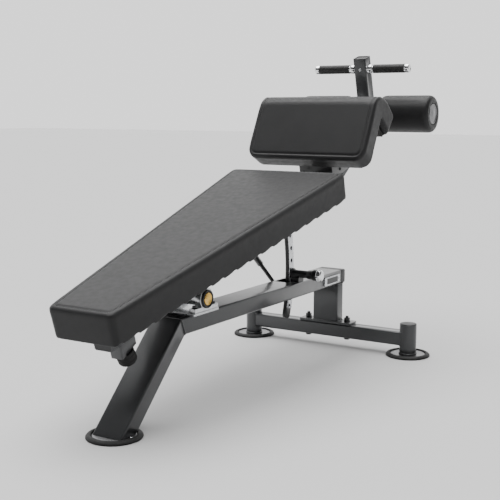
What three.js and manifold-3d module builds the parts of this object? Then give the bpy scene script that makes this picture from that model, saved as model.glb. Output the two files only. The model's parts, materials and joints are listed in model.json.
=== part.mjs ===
// Adjustable decline bench. A fixed frame (front leg, main beam, rear column and cross tube on
// three disc feet) carries a tilting carriage with a long back pad, a bent knee pad, two ankle
// rollers and a T-handle. A sector bar with a row of holes and a pull pin set the tilt.
// Millimetres, +X to the bench's right, +Y towards the knee pad, +Z up.
import * as THREE from 'three';
import { mergeVertices } from 'three/addons/utils/BufferGeometryUtils.js';
import Module from 'manifold-3d';

const wasm = await Module();
wasm.setup();

// ---------------------------------------------------------------- driving sizes
const DEG = Math.PI / 180;
const GAP = 0.3;                 // clearance between pieces that touch
const BIG = 3000;                // size of a cutting block

const TUBE_WIDTH = 100;          // main frame tube, across the bench
const TUBE_DEPTH = 50;           // main frame tube, the other way
const TUBE_WALL = 3;
const TUBE_RADIUS = 6;

const BEAM_TOP = 285;            // height of the main beam's top face
const LEG_ANGLE = 45;            // front leg above the floor
const LEG_JOINT_Y = -95;         // where the leg's and the beam's centre lines meet
const BEAM_END = 905;            // rear end of the main beam's tube
const END_CAP_LENGTH = 32;
const BEAM_SLOT = { left: -38, right: 14, ahead: 22, behind: 10 };   // lets the sector bar through
const BADGE = { length: 120, height: 31, thickness: 1.6, fromEnd: 72 };

const COLUMN_SETBACK = 5;        // column and cross tube, in front of the beam tube's end
const CROSS_SIZE = 50;           // square cross tube
const CROSS_BOTTOM = 37;
const TRACK = 644;               // distance between the two rear feet's centres
const PLATE = { length: 210, depth: 60, thickness: 8 };
const PLATE_BOLT = { x: 80, head: 11, hole: 7, shank: 6 };

const FOOT = { rim: 15.5, height: 12, margin: 1.8, floor: 5, disc: 3 };
const POST = { radius: 30, wall: 4, top: 113, cap: 4 };

const PIVOT_HEIGHT = 42.5;       // tilt axis above the beam's top
const SHAFT_RADIUS = 12.5;
const BLOCK = { ring: 33, bore: 13, inner: 44.3, outer: 66, length: 118, base: 12, bolt: 46 };
const BLOCK_CAP = { dish: 27.5, recess: 4, radius: 27, height: 10 };
const BLOCK_DISC = { radius: 19, height: 3 };
const BLOCK_BOLT = { radius: 8.5, height: 8 };
const PIVOT_PLATE = { width: 134, length: 126, thickness: 8 };
const HUB_RADIUS = 22.3;

const PAD_ANGLE = 15.6;          // carriage slope as it is stored
const RAIL_WIDTH = 60;           // carriage tube, across the bench
const RAIL_DEPTH = 50;
const RAIL_BOTTOM = 22.7;        // carriage tube above the tilt axis
const RAIL_FRONT = -392;
const RAIL_KINK = 991;           // where the carriage tube turns up towards the post
const RISE_ANGLE = 18.4;         // slope of the riser relative to the carriage tube

const PAD = { front: -451, rear: 652, frontHalf: 102.6, rearHalf: 214, thickness: 82.5, corner: 26 };
const BOARD = { thickness: 12, inset: 12 };

const KNEE = { half: 225, board: 203, thickness: 70, ply: 9, frontAngle: 47.8, rearAngle: -55 };
const KNEE_APEX = { along: 949.4, up: 269.7 };   // inner corner of the bent knee pad
const KNEE_FRONT = { length: 185, crest: -44 };  // front flap, measured down from that corner
const KNEE_REAR = { length: 102, crest: -26 };   // rear flap, likewise
const NECK = { half: 65.5, rear: 985, sheet: 6, frontInset: 26, rearInset: 16 };

const ROLLER = { up: 181.6, radius: 70, inner: 69, outer: 272, cap: 38, recess: 5 };
const ROLLER_SHAFT_RADIUS = 12.5;
const HANDLE_POST = { size: 50, wall: 2.5, front: 1286, bottom: 112, top: 403 };
const HANDLE = { offset: -7, up: 359.5, radius: 14, half: 196, grip: 16.5, gripStart: 50, gripEnd: 178 };

const STOP = { front: -350, length: 68, width: 42, wall: 4, tip: -14, slope: 15 };
const BUMPER = { radius: 27, height: 42 };

const SECTOR = { inner: 590, outer: 624, left: -7, right: 5, top: 1.9, bottom: -30.4 };
const STRIP = { inner: 592, outer: 622, thickness: 2.5, top: 1.2, bottom: -28.6 };
const HOLE_STEP = 4.16;          // angle between two tilt holes
const PIN_HOLE_ANGLE = -17.05;   // the hole in use, in the carriage's frame
const HOLES_ABOVE = 4;
const HOLES_BELOW = 2;
const HOLE_RADIUS = 7;
const PIN_RADIUS = 6.2;
const PIN_TRAVEL = 18;
const HOUSING = { radius: 13, flange: 18, start: 9, end: 87.5, foot: 36, depth: 36 };
const KNOB = { skirt: 15.5, skirtLength: 19, collar: 18.5, collarLength: 16, head: 20, length: 53 };

const SPRING = { along: 393.6, drop: 6, x: -62, tube: 10.5, tubeLength: 190, eye: 12 };
const SPRING_ROD = { radius: 7, inside: 32, closing: 90.5, eye: 15 };   // closing: travel left at rest
const SPRING_STUD = { y: 622, drop: 27 };    // on the beam's left side, below its top
const SPRING_PLATE = { length: 88, inset: 1, thickness: 4 };

// ---------------------------------------------------------------- looks
const PAINT = { color: 0x4b4c4e, roughness: 0.32, metalness: 0.55 };
const BLACK_STEEL = { color: 0x1c1c1e, roughness: 0.45, metalness: 0.4 };
const VINYL = { color: 0x2f2f30, roughness: 0.55, metalness: 0.0 };
const PLYWOOD = { color: 0x3a3a3a, roughness: 0.8, metalness: 0.0 };
const PLASTIC = { color: 0x19191a, roughness: 0.5, metalness: 0.0 };
const RUBBER = { color: 0x121212, roughness: 0.85, metalness: 0.0 };
const CAST = { color: 0xb9babc, roughness: 0.35, metalness: 0.9 };
const STEEL = { color: 0xa9abad, roughness: 0.3, metalness: 0.95 };
const CHROME = { color: 0xd8dadd, roughness: 0.08, metalness: 1.0 };
const GOLD = { color: 0xb08a33, roughness: 0.3, metalness: 0.95 };

// ---------------------------------------------------------------- geometry helpers
/** Shared-vertex copy with position only, no collapsed triangles, faces pointing out. */
function clean(geometry) {
  const plain = geometry.clone();
  plain.deleteAttribute('normal');
  plain.deleteAttribute('uv');
  const merged = mergeVertices(plain, 1e-3);
  const index = merged.index.array;
  const kept = [];
  for (let i = 0; i < index.length; i += 3) {
    const [a, b, c] = [index[i], index[i + 1], index[i + 2]];
    if (a !== b && b !== c && c !== a) kept.push(a, b, c);
  }
  if (signedVolume(merged.attributes.position, kept) < 0) kept.reverse();
  merged.setIndex(kept);
  return merged;
}

function signedVolume(position, index) {
  const corners = [new THREE.Vector3(), new THREE.Vector3(), new THREE.Vector3()];
  let total = 0;
  for (let i = 0; i < index.length; i += 3) {
    corners.forEach((corner, k) => corner.fromBufferAttribute(position, index[i + k]));
    total += corners[0].dot(corners[1].cross(corners[2]));
  }
  return total / 6;
}

function solidOf(geometry) {
  const body = clean(geometry);
  return new wasm.Manifold(new wasm.Mesh({
    numProp: 3,
    vertProperties: new Float32Array(body.attributes.position.array),
    triVerts: new Uint32Array(body.index.array),
  }));
}

function geometryOf(solid) {
  const { vertProperties, triVerts } = solid.getMesh();
  const geometry = new THREE.BufferGeometry();
  geometry.setAttribute('position', new THREE.BufferAttribute(new Float32Array(vertProperties), 3));
  geometry.setIndex(Array.from(triVerts));
  return geometry;
}

/** The first shape with every other one taken away. */
function cut(geometry, ...tools) {
  return geometryOf(tools.reduce((body, tool) => body.subtract(solidOf(tool)), solidOf(geometry)));
}

/** All the shapes joined into one. */
function join(geometry, ...others) {
  return geometryOf(others.reduce((body, other) => body.add(solidOf(other)), solidOf(geometry)));
}

function box(x0, x1, y0, y1, z0, z1) {
  const geometry = new THREE.BoxGeometry(x1 - x0, y1 - y0, z1 - z0);
  return geometry.translate((x0 + x1) / 2, (y0 + y1) / 2, (z0 + z1) / 2);
}

function roundRect(width, height, radius) {
  const shape = new THREE.Shape();
  const x = width / 2 - radius;
  const y = height / 2 - radius;
  [[x, y], [-x, y], [-x, -y], [x, -y]].forEach(([cx, cy], k) => {
    shape.absarc(cx, cy, radius, k * Math.PI / 2, (k + 1) * Math.PI / 2);
  });
  return shape;
}

function extrude(shape, depth, curveSegments = 4) {
  return new THREE.ExtrudeGeometry(shape, { depth, bevelEnabled: false, curveSegments });
}

/** Rectangular tube along +Z: x is its width, y its depth. */
function rectTube(width, depth, radius, wall, length) {
  const shape = roundRect(width, depth, radius);
  shape.holes.push(roundRect(width - 2 * wall, depth - 2 * wall, radius - wall));
  return extrude(shape, length);
}

/** Turns local +Z to (cos, sin) of the angle in the YZ plane and moves the start to (y, z). */
function alongYZ(geometry, y, z, angle) {
  return geometry.rotateX((angle - 90) * DEG).translate(0, y, z);
}

/** A block that fills everything on the (cos, sin) side of the point (y, z). */
function halfSpace(y, z, angle) {
  return alongYZ(box(-BIG, BIG, -BIG, BIG, 0, BIG), y, z, angle);
}

/** Extrudes an outline drawn in (y, z) along X, from x0 to x1. */
function slab(shape, x0, x1, curveSegments = 5) {
  const geometry = extrude(shape, x1 - x0, curveSegments);
  const turn = new THREE.Matrix4().set(0, 0, 1, x0, 1, 0, 0, 0, 0, 1, 0, 0, 0, 0, 0, 1);
  return geometry.applyMatrix4(turn);
}

/** Closed outline with each corner cut back by its own amount and rounded: [x, y, cut]. */
function softOutline(corners) {
  const shape = new THREE.Shape();
  const towards = ([x, y], [tx, ty], by) => {
    const length = Math.hypot(tx - x, ty - y);
    return [x + (tx - x) * by / length, y + (ty - y) * by / length];
  };
  corners.forEach((corner, k) => {
    const before = corners[(k + corners.length - 1) % corners.length];
    const after = corners[(k + 1) % corners.length];
    const [x, y, round = 0] = corner;
    const enter = round ? towards(corner, before, round) : [x, y];
    if (k === 0) shape.moveTo(...enter);
    else shape.lineTo(...enter);
    if (round) shape.quadraticCurveTo(x, y, ...towards(corner, after, round));
  });
  shape.closePath();
  return shape;
}

/** Turned shape about Z: the profile is [radius, height] pairs. */
function turned(profile, segments = 24) {
  const points = profile.map(([r, h]) => new THREE.Vector2(r, h));
  return new THREE.LatheGeometry(points, segments).rotateX(90 * DEG);
}

/** Turned shape about the X axis: the profile is [radius, x] pairs. */
function turnedX(profile, y = 0, z = 0, segments = 24) {
  const points = profile.map(([r, h]) => new THREE.Vector2(r, h));
  return new THREE.LatheGeometry(points, segments).rotateZ(-90 * DEG).translate(0, y, z);
}

const rodProfile = (radius, from, to) => [[0, from], [radius, from], [radius, to], [0, to]];
const ringProfile = (radius, bore, from, to) => (
  [[bore, from], [radius, from], [radius, to], [bore, to], [bore, from]]);

/** Adds one named mesh with its own material. */
function piece(group, name, geometry, look) {
  const mesh = new THREE.Mesh(clean(geometry), new THREE.MeshStandardMaterial(look));
  mesh.name = name;
  group.add(mesh);
}

const SIDES = [['left', -1], ['right', 1]];

// ---------------------------------------------------------------- derived sizes
const BEAM_BOTTOM = BEAM_TOP - TUBE_DEPTH;
const BEAM_MIDDLE = BEAM_TOP - TUBE_DEPTH / 2;
const CROSS_TOP = CROSS_BOTTOM + CROSS_SIZE;
const SEAT = FOOT.floor + FOOT.disc + 2 * GAP;     // where legs and posts stand on a foot disc
const FOOT_RECESS = FOOT.margin
  + Math.hypot(TUBE_WIDTH / 2, TUBE_DEPTH / 2 / Math.sin(LEG_ANGLE * DEG));
const FOOT_RADIUS = FOOT_RECESS + FOOT.rim;
const COLUMN_Y = BEAM_END - COLUMN_SETBACK;
const FRONT_FOOT_Y = LEG_JOINT_Y - (BEAM_MIDDLE - SEAT) / Math.tan(LEG_ANGLE * DEG);
const PIVOT_Z = BEAM_TOP + PIVOT_HEIGHT;
const POST_MIDDLE = HANDLE_POST.front + HANDLE_POST.size / 2;
const HANDLE_ALONG = POST_MIDDLE + HANDLE.offset;
const SPRING_UP = RAIL_BOTTOM + RAIL_DEPTH / 2 - SPRING.drop;
const SPRING_FOOT = { y: SPRING_STUD.y, z: BEAM_TOP - SPRING_STUD.drop };
const RAIL_TOP = RAIL_BOTTOM + RAIL_DEPTH;
const BOARD_BOTTOM = RAIL_TOP + GAP;
const PAD_BOTTOM = BOARD_BOTTOM + BOARD.thickness + GAP;
const SECTOR_RADIUS = (SECTOR.inner + SECTOR.outer) / 2;
const PIN = {
  y: SECTOR_RADIUS * Math.cos((PIN_HOLE_ANGLE + PAD_ANGLE) * DEG),
  z: PIVOT_Z + SECTOR_RADIUS * Math.sin((PIN_HOLE_ANGLE + PAD_ANGLE) * DEG),
};
const STRIP_FACE = SECTOR.right + GAP + STRIP.thickness;

// ---------------------------------------------------------------- fixed frame
function frontLeg() {
  const mitre = LEG_ANGLE / 2;
  const extra = TUBE_DEPTH;
  const reach = BEAM_MIDDLE / Math.sin(LEG_ANGLE * DEG) + extra;
  const footY = LEG_JOINT_Y - reach * Math.cos(LEG_ANGLE * DEG);
  const footZ = BEAM_MIDDLE - reach * Math.sin(LEG_ANGLE * DEG);
  const tube = rectTube(TUBE_WIDTH, TUBE_DEPTH, TUBE_RADIUS, TUBE_WALL, reach + extra);
  return cut(
    alongYZ(tube, footY, footZ, LEG_ANGLE),
    halfSpace(LEG_JOINT_Y - GAP / 2, BEAM_MIDDLE, mitre),
    halfSpace(0, SEAT, -90),
  );
}

function mainBeam() {
  const start = LEG_JOINT_Y - TUBE_DEPTH;
  const tube = rectTube(TUBE_WIDTH, TUBE_DEPTH, TUBE_RADIUS, TUBE_WALL, BEAM_END - start);
  const slotStart = SECTOR.inner - BEAM_SLOT.ahead;
  const slotEnd = SECTOR.outer + BEAM_SLOT.behind;
  return cut(
    alongYZ(tube, start, BEAM_MIDDLE, 0),
    halfSpace(LEG_JOINT_Y + GAP / 2, BEAM_MIDDLE, LEG_ANGLE / 2 + 180),
    box(BEAM_SLOT.left, BEAM_SLOT.right, slotStart, slotEnd, BEAM_MIDDLE, BEAM_TOP + 1),
    box(-BEAM_SLOT.right, BEAM_SLOT.right, slotStart, slotEnd, BEAM_BOTTOM - 1, BEAM_MIDDLE),
  );
}

function beamEndCap() {
  const body = extrude(roundRect(TUBE_WIDTH, TUBE_DEPTH, TUBE_RADIUS), END_CAP_LENGTH);
  const inside = 2 * (TUBE_WALL + GAP);
  const plug = extrude(roundRect(TUBE_WIDTH - inside, TUBE_DEPTH - inside, TUBE_RADIUS - TUBE_WALL), 26);
  return join(
    alongYZ(body, BEAM_END + GAP, BEAM_MIDDLE, 0),
    alongYZ(plug, BEAM_END - 20, BEAM_MIDDLE, 0),
  );
}

function badgePlate() {
  const face = TUBE_WIDTH / 2 + GAP;
  const plate = slab(roundRect(BADGE.length, BADGE.height, 5), face, face + BADGE.thickness);
  return plate.translate(0, BEAM_END - BADGE.fromEnd, BEAM_MIDDLE - 2);
}

function rearColumn() {
  const bottom = CROSS_TOP + PLATE.thickness + 2 * GAP;
  const tube = rectTube(TUBE_WIDTH, TUBE_DEPTH, TUBE_RADIUS, TUBE_WALL, BEAM_BOTTOM - GAP - bottom);
  return tube.translate(0, COLUMN_Y, bottom);
}

function columnBasePlate() {
  const bottom = CROSS_TOP + GAP;
  const plate = extrude(roundRect(PLATE.length, PLATE.depth, 6), PLATE.thickness);
  const holes = SIDES.map(([, side]) => (
    turned(rodProfile(PLATE_BOLT.hole, -1, PLATE.thickness + 1), 16).translate(side * PLATE_BOLT.x, 0, 0)));
  return cut(plate, ...holes).translate(0, COLUMN_Y, bottom);
}

/** Hex bolt through the cross tube and the base plate, with its nut. */
function columnBolt(side) {
  const { x, head: across, shank: radius } = PLATE_BOLT;
  const head = turned(rodProfile(across, CROSS_BOTTOM - GAP - 8, CROSS_BOTTOM - GAP), 6);
  const nutBottom = CROSS_TOP + PLATE.thickness + 2 * GAP;
  const nut = turned([[0, nutBottom], [across, nutBottom], [across, nutBottom + 14],
    [across - 2, nutBottom + 16], [0, nutBottom + 16]], 6);
  const shank = turned(rodProfile(radius, CROSS_BOTTOM - 4, nutBottom + 22), 16);
  return join(shank, head, nut).translate(side * x, COLUMN_Y, 0);
}

function rearCrossbar() {
  const half = TRACK / 2;
  const tube = rectTube(CROSS_SIZE, CROSS_SIZE, TUBE_RADIUS, TUBE_WALL, TRACK).rotateY(90 * DEG);
  const posts = SIDES.map(([, side]) => (
    turned(rodProfile(POST.radius + GAP, -BIG, BIG)).translate(side * half, COLUMN_Y, 0)));
  const holes = SIDES.map(([, side]) => (
    turned(rodProfile(PLATE_BOLT.hole, 0, BIG), 16).translate(side * PLATE_BOLT.x, COLUMN_Y, 0)));
  return cut(tube.translate(-half, COLUMN_Y, CROSS_BOTTOM + CROSS_SIZE / 2), ...posts, ...holes);
}

const footPost = (x) => turned(ringProfile(POST.radius, POST.radius - POST.wall, SEAT, POST.top))
  .translate(x, COLUMN_Y, 0);

function footPostCap(x) {
  const plug = POST.radius - POST.wall - GAP;
  const seat = POST.top + GAP;
  return turned([[0, seat - 10], [plug, seat - 10], [plug, seat], [POST.radius, seat],
    [POST.radius, seat + POST.cap - 2], [POST.radius - 2, seat + POST.cap], [0, seat + POST.cap]])
    .translate(x, COLUMN_Y, 0);
}

function rubberFoot(x, y) {
  const { height, floor } = FOOT;
  return turned([[0, 0], [FOOT_RADIUS - 2, 0], [FOOT_RADIUS, 3], [FOOT_RADIUS - 3, height - 3],
    [FOOT_RADIUS - 8, height], [FOOT_RECESS, height], [FOOT_RECESS - 1, floor], [0, floor]])
    .translate(x, y, 0);
}

const footDisc = (x, y) => turned(
  rodProfile(FOOT_RECESS - 1 - 2 * GAP, FOOT.floor + GAP, FOOT.floor + GAP + FOOT.disc)).translate(x, y, 0);

// ---------------------------------------------------------------- tilt bearing
function pivotPlate() {
  const plate = extrude(roundRect(PIVOT_PLATE.width, PIVOT_PLATE.length, 4), PIVOT_PLATE.thickness);
  return plate.translate(0, 0, BEAM_TOP + GAP);
}

/** Bearing housing: a foot with two bolt holes and a ring about the tilt axis. */
function pivotBlock(side) {
  const [x0, x1] = [BLOCK.inner, BLOCK.outer];
  const footBottom = BEAM_TOP + PIVOT_PLATE.thickness + 2 * GAP;
  const half = BLOCK.length / 2;
  const foot = box(x0, x1, -half, half, footBottom, footBottom + BLOCK.base);
  const web = box(x0 + 2, x1 - 2, -26, 26, footBottom, PIVOT_Z);
  const ring = turnedX(rodProfile(BLOCK.ring, x0, x1), 0, PIVOT_Z);
  const bore = turnedX(rodProfile(BLOCK.bore, x0 - 1, x1 + 1), 0, PIVOT_Z);
  const dish = turnedX(rodProfile(BLOCK_CAP.dish, x1 - BLOCK_CAP.recess, x1 + 1), 0, PIVOT_Z);
  const body = cut(join(foot, web, ring), bore, dish);
  return side > 0 ? body : body.scale(-1, 1, 1);
}

function pivotBolt(side, end) {
  const seat = BEAM_TOP + PIVOT_PLATE.thickness + BLOCK.base + 3 * GAP;
  const middle = (BLOCK.inner + BLOCK.outer) / 2;
  const { radius, height } = BLOCK_BOLT;
  return turned([[0, seat], [radius, seat], [radius, seat + height - 1], [radius - 1.5, seat + height],
    [0, seat + height]], 6).translate(side * middle, end * BLOCK.bolt, 0);
}

function pivotCap(side) {
  const { radius, height, recess } = BLOCK_CAP;
  const start = BLOCK.outer - recess + GAP;
  const cap = turnedX([[0, start], [radius, start], [radius, start + height - 2],
    [radius - 3, start + height], [0, start + height]]);
  return cap.scale(side, 1, 1).translate(0, 0, PIVOT_Z);
}

function pivotDisc(side) {
  const { radius, height } = BLOCK_DISC;
  const start = BLOCK.outer - BLOCK_CAP.recess + BLOCK_CAP.height + 2 * GAP;
  const disc = turnedX([[0, start], [radius, start], [radius, start + height / 2],
    [radius - 2, start + height], [0, start + height]]);
  return disc.scale(side, 1, 1).translate(0, 0, PIVOT_Z);
}

// ---------------------------------------------------------------- pull pin
function pinHousing() {
  const { radius, flange, start, end, foot, depth } = HOUSING;
  const tube = turnedX(rodProfile(radius, start, end), PIN.y, PIN.z, 20);
  const collar = turnedX(rodProfile(flange, start, start + 8), PIN.y, PIN.z, 20);
  const [y0, y1] = [PIN.y - depth / 2, PIN.y + depth / 2];
  const seat = BEAM_TOP + GAP;
  const pedestal = box(start + 6, start + foot, y0, y1, seat, PIN.z);
  const bore = turnedX(rodProfile(PIN_RADIUS + GAP, start - 1, end + 1), PIN.y, PIN.z, 16);
  const crown = box(start + 8, start + foot + 1, y0 - 1, PIN.y - radius, PIN.z - 12, PIN.z + 1);
  const rear = box(start + 8, start + foot + 1, PIN.y + radius, y1 + 1, PIN.z - 12, PIN.z + 1);
  return cut(join(tube, collar, pedestal), bore, crown, rear);
}

/** The pin is drawn clear of the sector bar: it slides in by PIN_TRAVEL to lock. */
const PIN_TIP = STRIP_FACE + 1;
const KNOB_START = HOUSING.end - HOUSING.radius - GAP;
const PIN_END = KNOB_START + KNOB.length - 10;

const lockPin = () => turnedX([[0, PIN_TIP], [PIN_RADIUS - 1.5, PIN_TIP], [PIN_RADIUS, PIN_TIP + 2],
  [PIN_RADIUS, PIN_END], [0, PIN_END]], PIN.y, PIN.z, 16);

/** Pull knob whose skirt slides over the housing. */
function pinKnob() {
  const { skirt, skirtLength, collar, collarLength, head, length } = KNOB;
  const [x0, x1] = [KNOB_START, KNOB_START + length];
  const x2 = x0 + skirtLength;
  const x3 = x2 + collarLength;
  const body = turnedX([[0, x0], [skirt, x0], [skirt, x2], [collar - 2, x2], [collar, x2 + 2],
    [collar, x3], [head, x3 + 1], [head, x1 - 7], [head - 3, x1 - 3], [head - 9, x1], [0, x1]],
  PIN.y, PIN.z);
  const sleeve = turnedX(rodProfile(HOUSING.radius + 2 * GAP, x0 - 1, HOUSING.end + PIN_TRAVEL + 1),
    PIN.y, PIN.z, 20);
  const hole = turnedX(rodProfile(PIN_RADIUS + GAP, x0 - 1, PIN_END + GAP), PIN.y, PIN.z, 16);
  return cut(body, sleeve, hole);
}

// ---------------------------------------------------------------- gas spring
const springRest = (() => {
  const up = PAD_ANGLE * DEG;
  const y = SPRING.along * Math.cos(up) - SPRING_UP * Math.sin(up);
  const z = PIVOT_Z + SPRING.along * Math.sin(up) + SPRING_UP * Math.cos(up);
  const length = Math.hypot(y - SPRING_FOOT.y, z - SPRING_FOOT.z);
  const angle = Math.atan2(z - SPRING_FOOT.z, y - SPRING_FOOT.y) / DEG;
  return { y, z, length, angle };
})();

const SPRING_ROD_LENGTH = springRest.length - SPRING_ROD.inside - SPRING_ROD.closing - 2;

/** Upper half of the gas spring: tube with a solid eye that bears on the carriage plate. */
function springTube() {
  const { tube, tubeLength, eye, x } = SPRING;
  const { length, angle } = springRest;
  const body = turned(rodProfile(tube, length - tubeLength, length - eye + 4), 20);
  const disc = turnedX(rodProfile(eye, -tube, tube), 0, length, 20);
  const bore = turned(rodProfile(SPRING_ROD.radius + GAP, 0, length - SPRING_ROD.inside), 16);
  return alongYZ(cut(join(body, disc), bore), SPRING_FOOT.y, SPRING_FOOT.z, angle).translate(x, 0, 0);
}

/** Lower half of the gas spring: rod with a bored eye on the beam's stud. */
function springRod() {
  const { eye, x } = SPRING;
  const half = SPRING_ROD.eye / 2;
  const shaft = turned(rodProfile(SPRING_ROD.radius, eye - 3, SPRING_ROD_LENGTH), 16);
  const disc = turnedX(rodProfile(eye, -half, half), 0, 0, 20);
  const bore = turnedX(rodProfile(5 + 2 * GAP, -2 * half, 2 * half), 0, 0, 16);
  const rod = cut(join(shaft, disc), bore);
  return alongYZ(rod, SPRING_FOOT.y, SPRING_FOOT.z, springRest.angle).translate(x, 0, 0);
}

function springStud() {
  const face = -TUBE_WIDTH / 2 - GAP;
  const eyeOuter = SPRING.x - SPRING_ROD.eye / 2 - GAP;
  const { y, z } = SPRING_FOOT;
  return turnedX([[0, eyeOuter - 5], [9, eyeOuter - 5], [9, eyeOuter], [5, eyeOuter], [5, face - 3],
    [12, face - 3], [12, face], [0, face]], y, z, 16);
}

// ---------------------------------------------------------------- carriage, in its own tilted frame
function carriageRail() {
  const tube = rectTube(RAIL_WIDTH, RAIL_DEPTH, TUBE_RADIUS, TUBE_WALL, RAIL_KINK + 60 - RAIL_FRONT);
  const middle = RAIL_BOTTOM + RAIL_DEPTH / 2;
  return cut(
    alongYZ(tube, RAIL_FRONT, middle, 0),
    halfSpace(RAIL_KINK - GAP / 2, middle, RISE_ANGLE / 2),
  );
}

function carriageRiser() {
  const middle = RAIL_BOTTOM + RAIL_DEPTH / 2;
  const slope = RISE_ANGLE * DEG;
  const tube = rectTube(RAIL_WIDTH, RAIL_DEPTH, TUBE_RADIUS, TUBE_WALL, 500);
  const start = 60;
  return cut(
    alongYZ(tube, RAIL_KINK - start * Math.cos(slope), middle - start * Math.sin(slope), RISE_ANGLE),
    halfSpace(RAIL_KINK + GAP / 2, middle, RISE_ANGLE / 2 + 180),
    halfSpace(HANDLE_POST.front - GAP, 0, 0),
  );
}

const carriageHub = () => turnedX(
  ringProfile(HUB_RADIUS, SHAFT_RADIUS + GAP, -BLOCK.inner + 1, BLOCK.inner - 1));
const pivotShaft = () => turnedX(rodProfile(SHAFT_RADIUS, -BLOCK.outer + 4, BLOCK.outer - 4));

/** Moves a shape drawn below z = 0 onto the stop bracket's sloping end. */
function onStopEnd(geometry, lift = 0) {
  const middle = STOP.front + STOP.length / 2;
  return geometry.translate(0, 0, lift).rotateX(STOP.slope * DEG).translate(0, middle, STOP.tip);
}

/** Short closed tube under the rail that carries the bumper. */
function stopBracket() {
  const { front, length, width, wall, tip } = STOP;
  const rise = RAIL_BOTTOM - GAP - tip;
  const below = onStopEnd(box(-BIG, BIG, -BIG, BIG, -BIG, 0));
  const floor = onStopEnd(box(-BIG, BIG, -BIG, BIG, -BIG, wall));
  const outer = extrude(roundRect(width, length, 5), rise + 40);
  const inner = extrude(roundRect(width - 2 * wall, length - 2 * wall, 2), rise + 80);
  const middle = front + length / 2;
  const lowered = (shape) => shape.translate(0, middle, tip - 40);
  return cut(lowered(outer), below, cut(lowered(inner), floor));
}

function stopBumper() {
  const { radius, height } = BUMPER;
  const profile = [[0, 0], [radius, 0], [radius, -height + 9], [radius - 3, -height + 4],
    [radius - 9, -height + 1], [0, -height]];
  return onStopEnd(turned(profile), -GAP);
}

/** Tapered outline of the back pad, drawn as (x, along), pulled in by an inset. */
function padOutline(inset) {
  const [front, rear] = [PAD.frontHalf - inset, PAD.rearHalf - inset];
  const [a, b] = [PAD.front + inset, PAD.rear - inset];
  return softOutline([[front, a, PAD.corner], [rear, b, PAD.corner], [-rear, b, PAD.corner],
    [-front, a, PAD.corner]]);
}

const padBoard = () => extrude(padOutline(BOARD.inset), BOARD.thickness, 4).translate(0, 0, BOARD_BOTTOM);
const padCushion = () => extrude(padOutline(0), PAD.thickness, 5).translate(0, 0, PAD_BOTTOM);

/** The point at a distance down a flap from the knee pad's inner corner, and out from it. */
function kneePoint(flap, distance, out) {
  const front = flap === 'front';
  const along = (front ? KNEE.frontAngle + 180 : KNEE.rearAngle) * DEG;
  const normal = along + (front ? -90 : 90) * DEG;
  return [
    KNEE_APEX.along + distance * Math.cos(along) + out * Math.cos(normal),
    KNEE_APEX.up + distance * Math.sin(along) + out * Math.sin(normal),
  ];
}

/** Where the two flaps' surfaces at the same distance out meet. */
function kneeCorner(out) {
  const half = (180 - KNEE.frontAngle + KNEE.rearAngle) / 2 * DEG;
  const middle = ((KNEE.frontAngle + KNEE.rearAngle) / 2 + 90) * DEG;
  const reach = out / Math.sin(half);
  return [KNEE_APEX.along + reach * Math.cos(middle), KNEE_APEX.up + reach * Math.sin(middle)];
}

function kneeCushion() {
  const out = KNEE.thickness;
  const shape = softOutline([
    [...kneePoint('front', KNEE_FRONT.length, 0), 8],
    [...kneePoint('front', KNEE_FRONT.length, out), 10],
    [...kneePoint('front', KNEE_FRONT.crest, out), 22],
    [...kneePoint('rear', KNEE_REAR.crest, out), 24],
    [...kneePoint('rear', KNEE_REAR.length, out), 26],
    [...kneePoint('rear', KNEE_REAR.length, 0), 8],
    [...kneeCorner(0)],
  ]);
  return slab(shape, -KNEE.half, KNEE.half, 5);
}

function kneeBoard() {
  const [near, far] = [-GAP, -GAP - KNEE.ply];
  const trim = 8;
  const shape = softOutline([
    kneePoint('front', KNEE_FRONT.length - trim, far),
    kneePoint('front', KNEE_FRONT.length - trim, near),
    kneeCorner(near),
    kneePoint('rear', KNEE_REAR.length - trim, near),
    kneePoint('rear', KNEE_REAR.length - trim, far),
    kneeCorner(far),
  ]);
  return slab(shape, -KNEE.board, KNEE.board);
}

/** Folded bracket between the rail and the knee pad's board: base, front web and two cheeks. */
function kneeBracket() {
  const { half, rear, sheet, frontInset, rearInset } = NECK;
  const floor = RAIL_TOP + GAP;
  const under = -KNEE.ply - 2 * GAP;
  const lead = kneePoint('front', KNEE_FRONT.length - frontInset, under);
  const tail = kneePoint('rear', KNEE_REAR.length - rearInset, under);
  const front = lead[0];
  const block = slab(softOutline([[front, floor], [rear, floor], tail, kneeCorner(under), lead]),
    -half, half);
  const inside = half - sheet;
  const hollow = box(-inside, inside, front + sheet, rear + 200, floor + sheet, floor + 400);
  return cut(block, hollow);
}

/** Part ring in the carriage's plane, between two angles. */
function sectorOutline(inner, outer, from, to) {
  const shape = new THREE.Shape();
  shape.absarc(0, 0, outer, from * DEG, to * DEG);
  shape.absarc(0, 0, inner, to * DEG, from * DEG, true);
  return shape;
}

function sectorHoles(x0, x1) {
  const holes = [];
  for (let k = -HOLES_BELOW; k <= HOLES_ABOVE; k += 1) {
    const angle = (PIN_HOLE_ANGLE + k * HOLE_STEP) * DEG;
    const [y, z] = [SECTOR_RADIUS * Math.cos(angle), SECTOR_RADIUS * Math.sin(angle)];
    holes.push(turnedX(rodProfile(HOLE_RADIUS, x0, x1), y, z, 14));
  }
  return holes;
}

/** Round end of the sector bar, about the middle of its depth. */
function sectorTip(radius, angle, x0, x1) {
  const y = SECTOR_RADIUS * Math.cos(angle * DEG);
  const z = SECTOR_RADIUS * Math.sin(angle * DEG);
  return turnedX(rodProfile(radius, x0, x1), y, z, 20);
}

function sectorBar() {
  const { inner, outer, left, right, top, bottom } = SECTOR;
  const bar = slab(sectorOutline(inner, outer, bottom, top), left, right, 10);
  const tip = sectorTip((outer - inner) / 2, bottom, left, right);
  return cut(join(bar, tip), ...sectorHoles(left - 1, right + 1));
}

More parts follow.
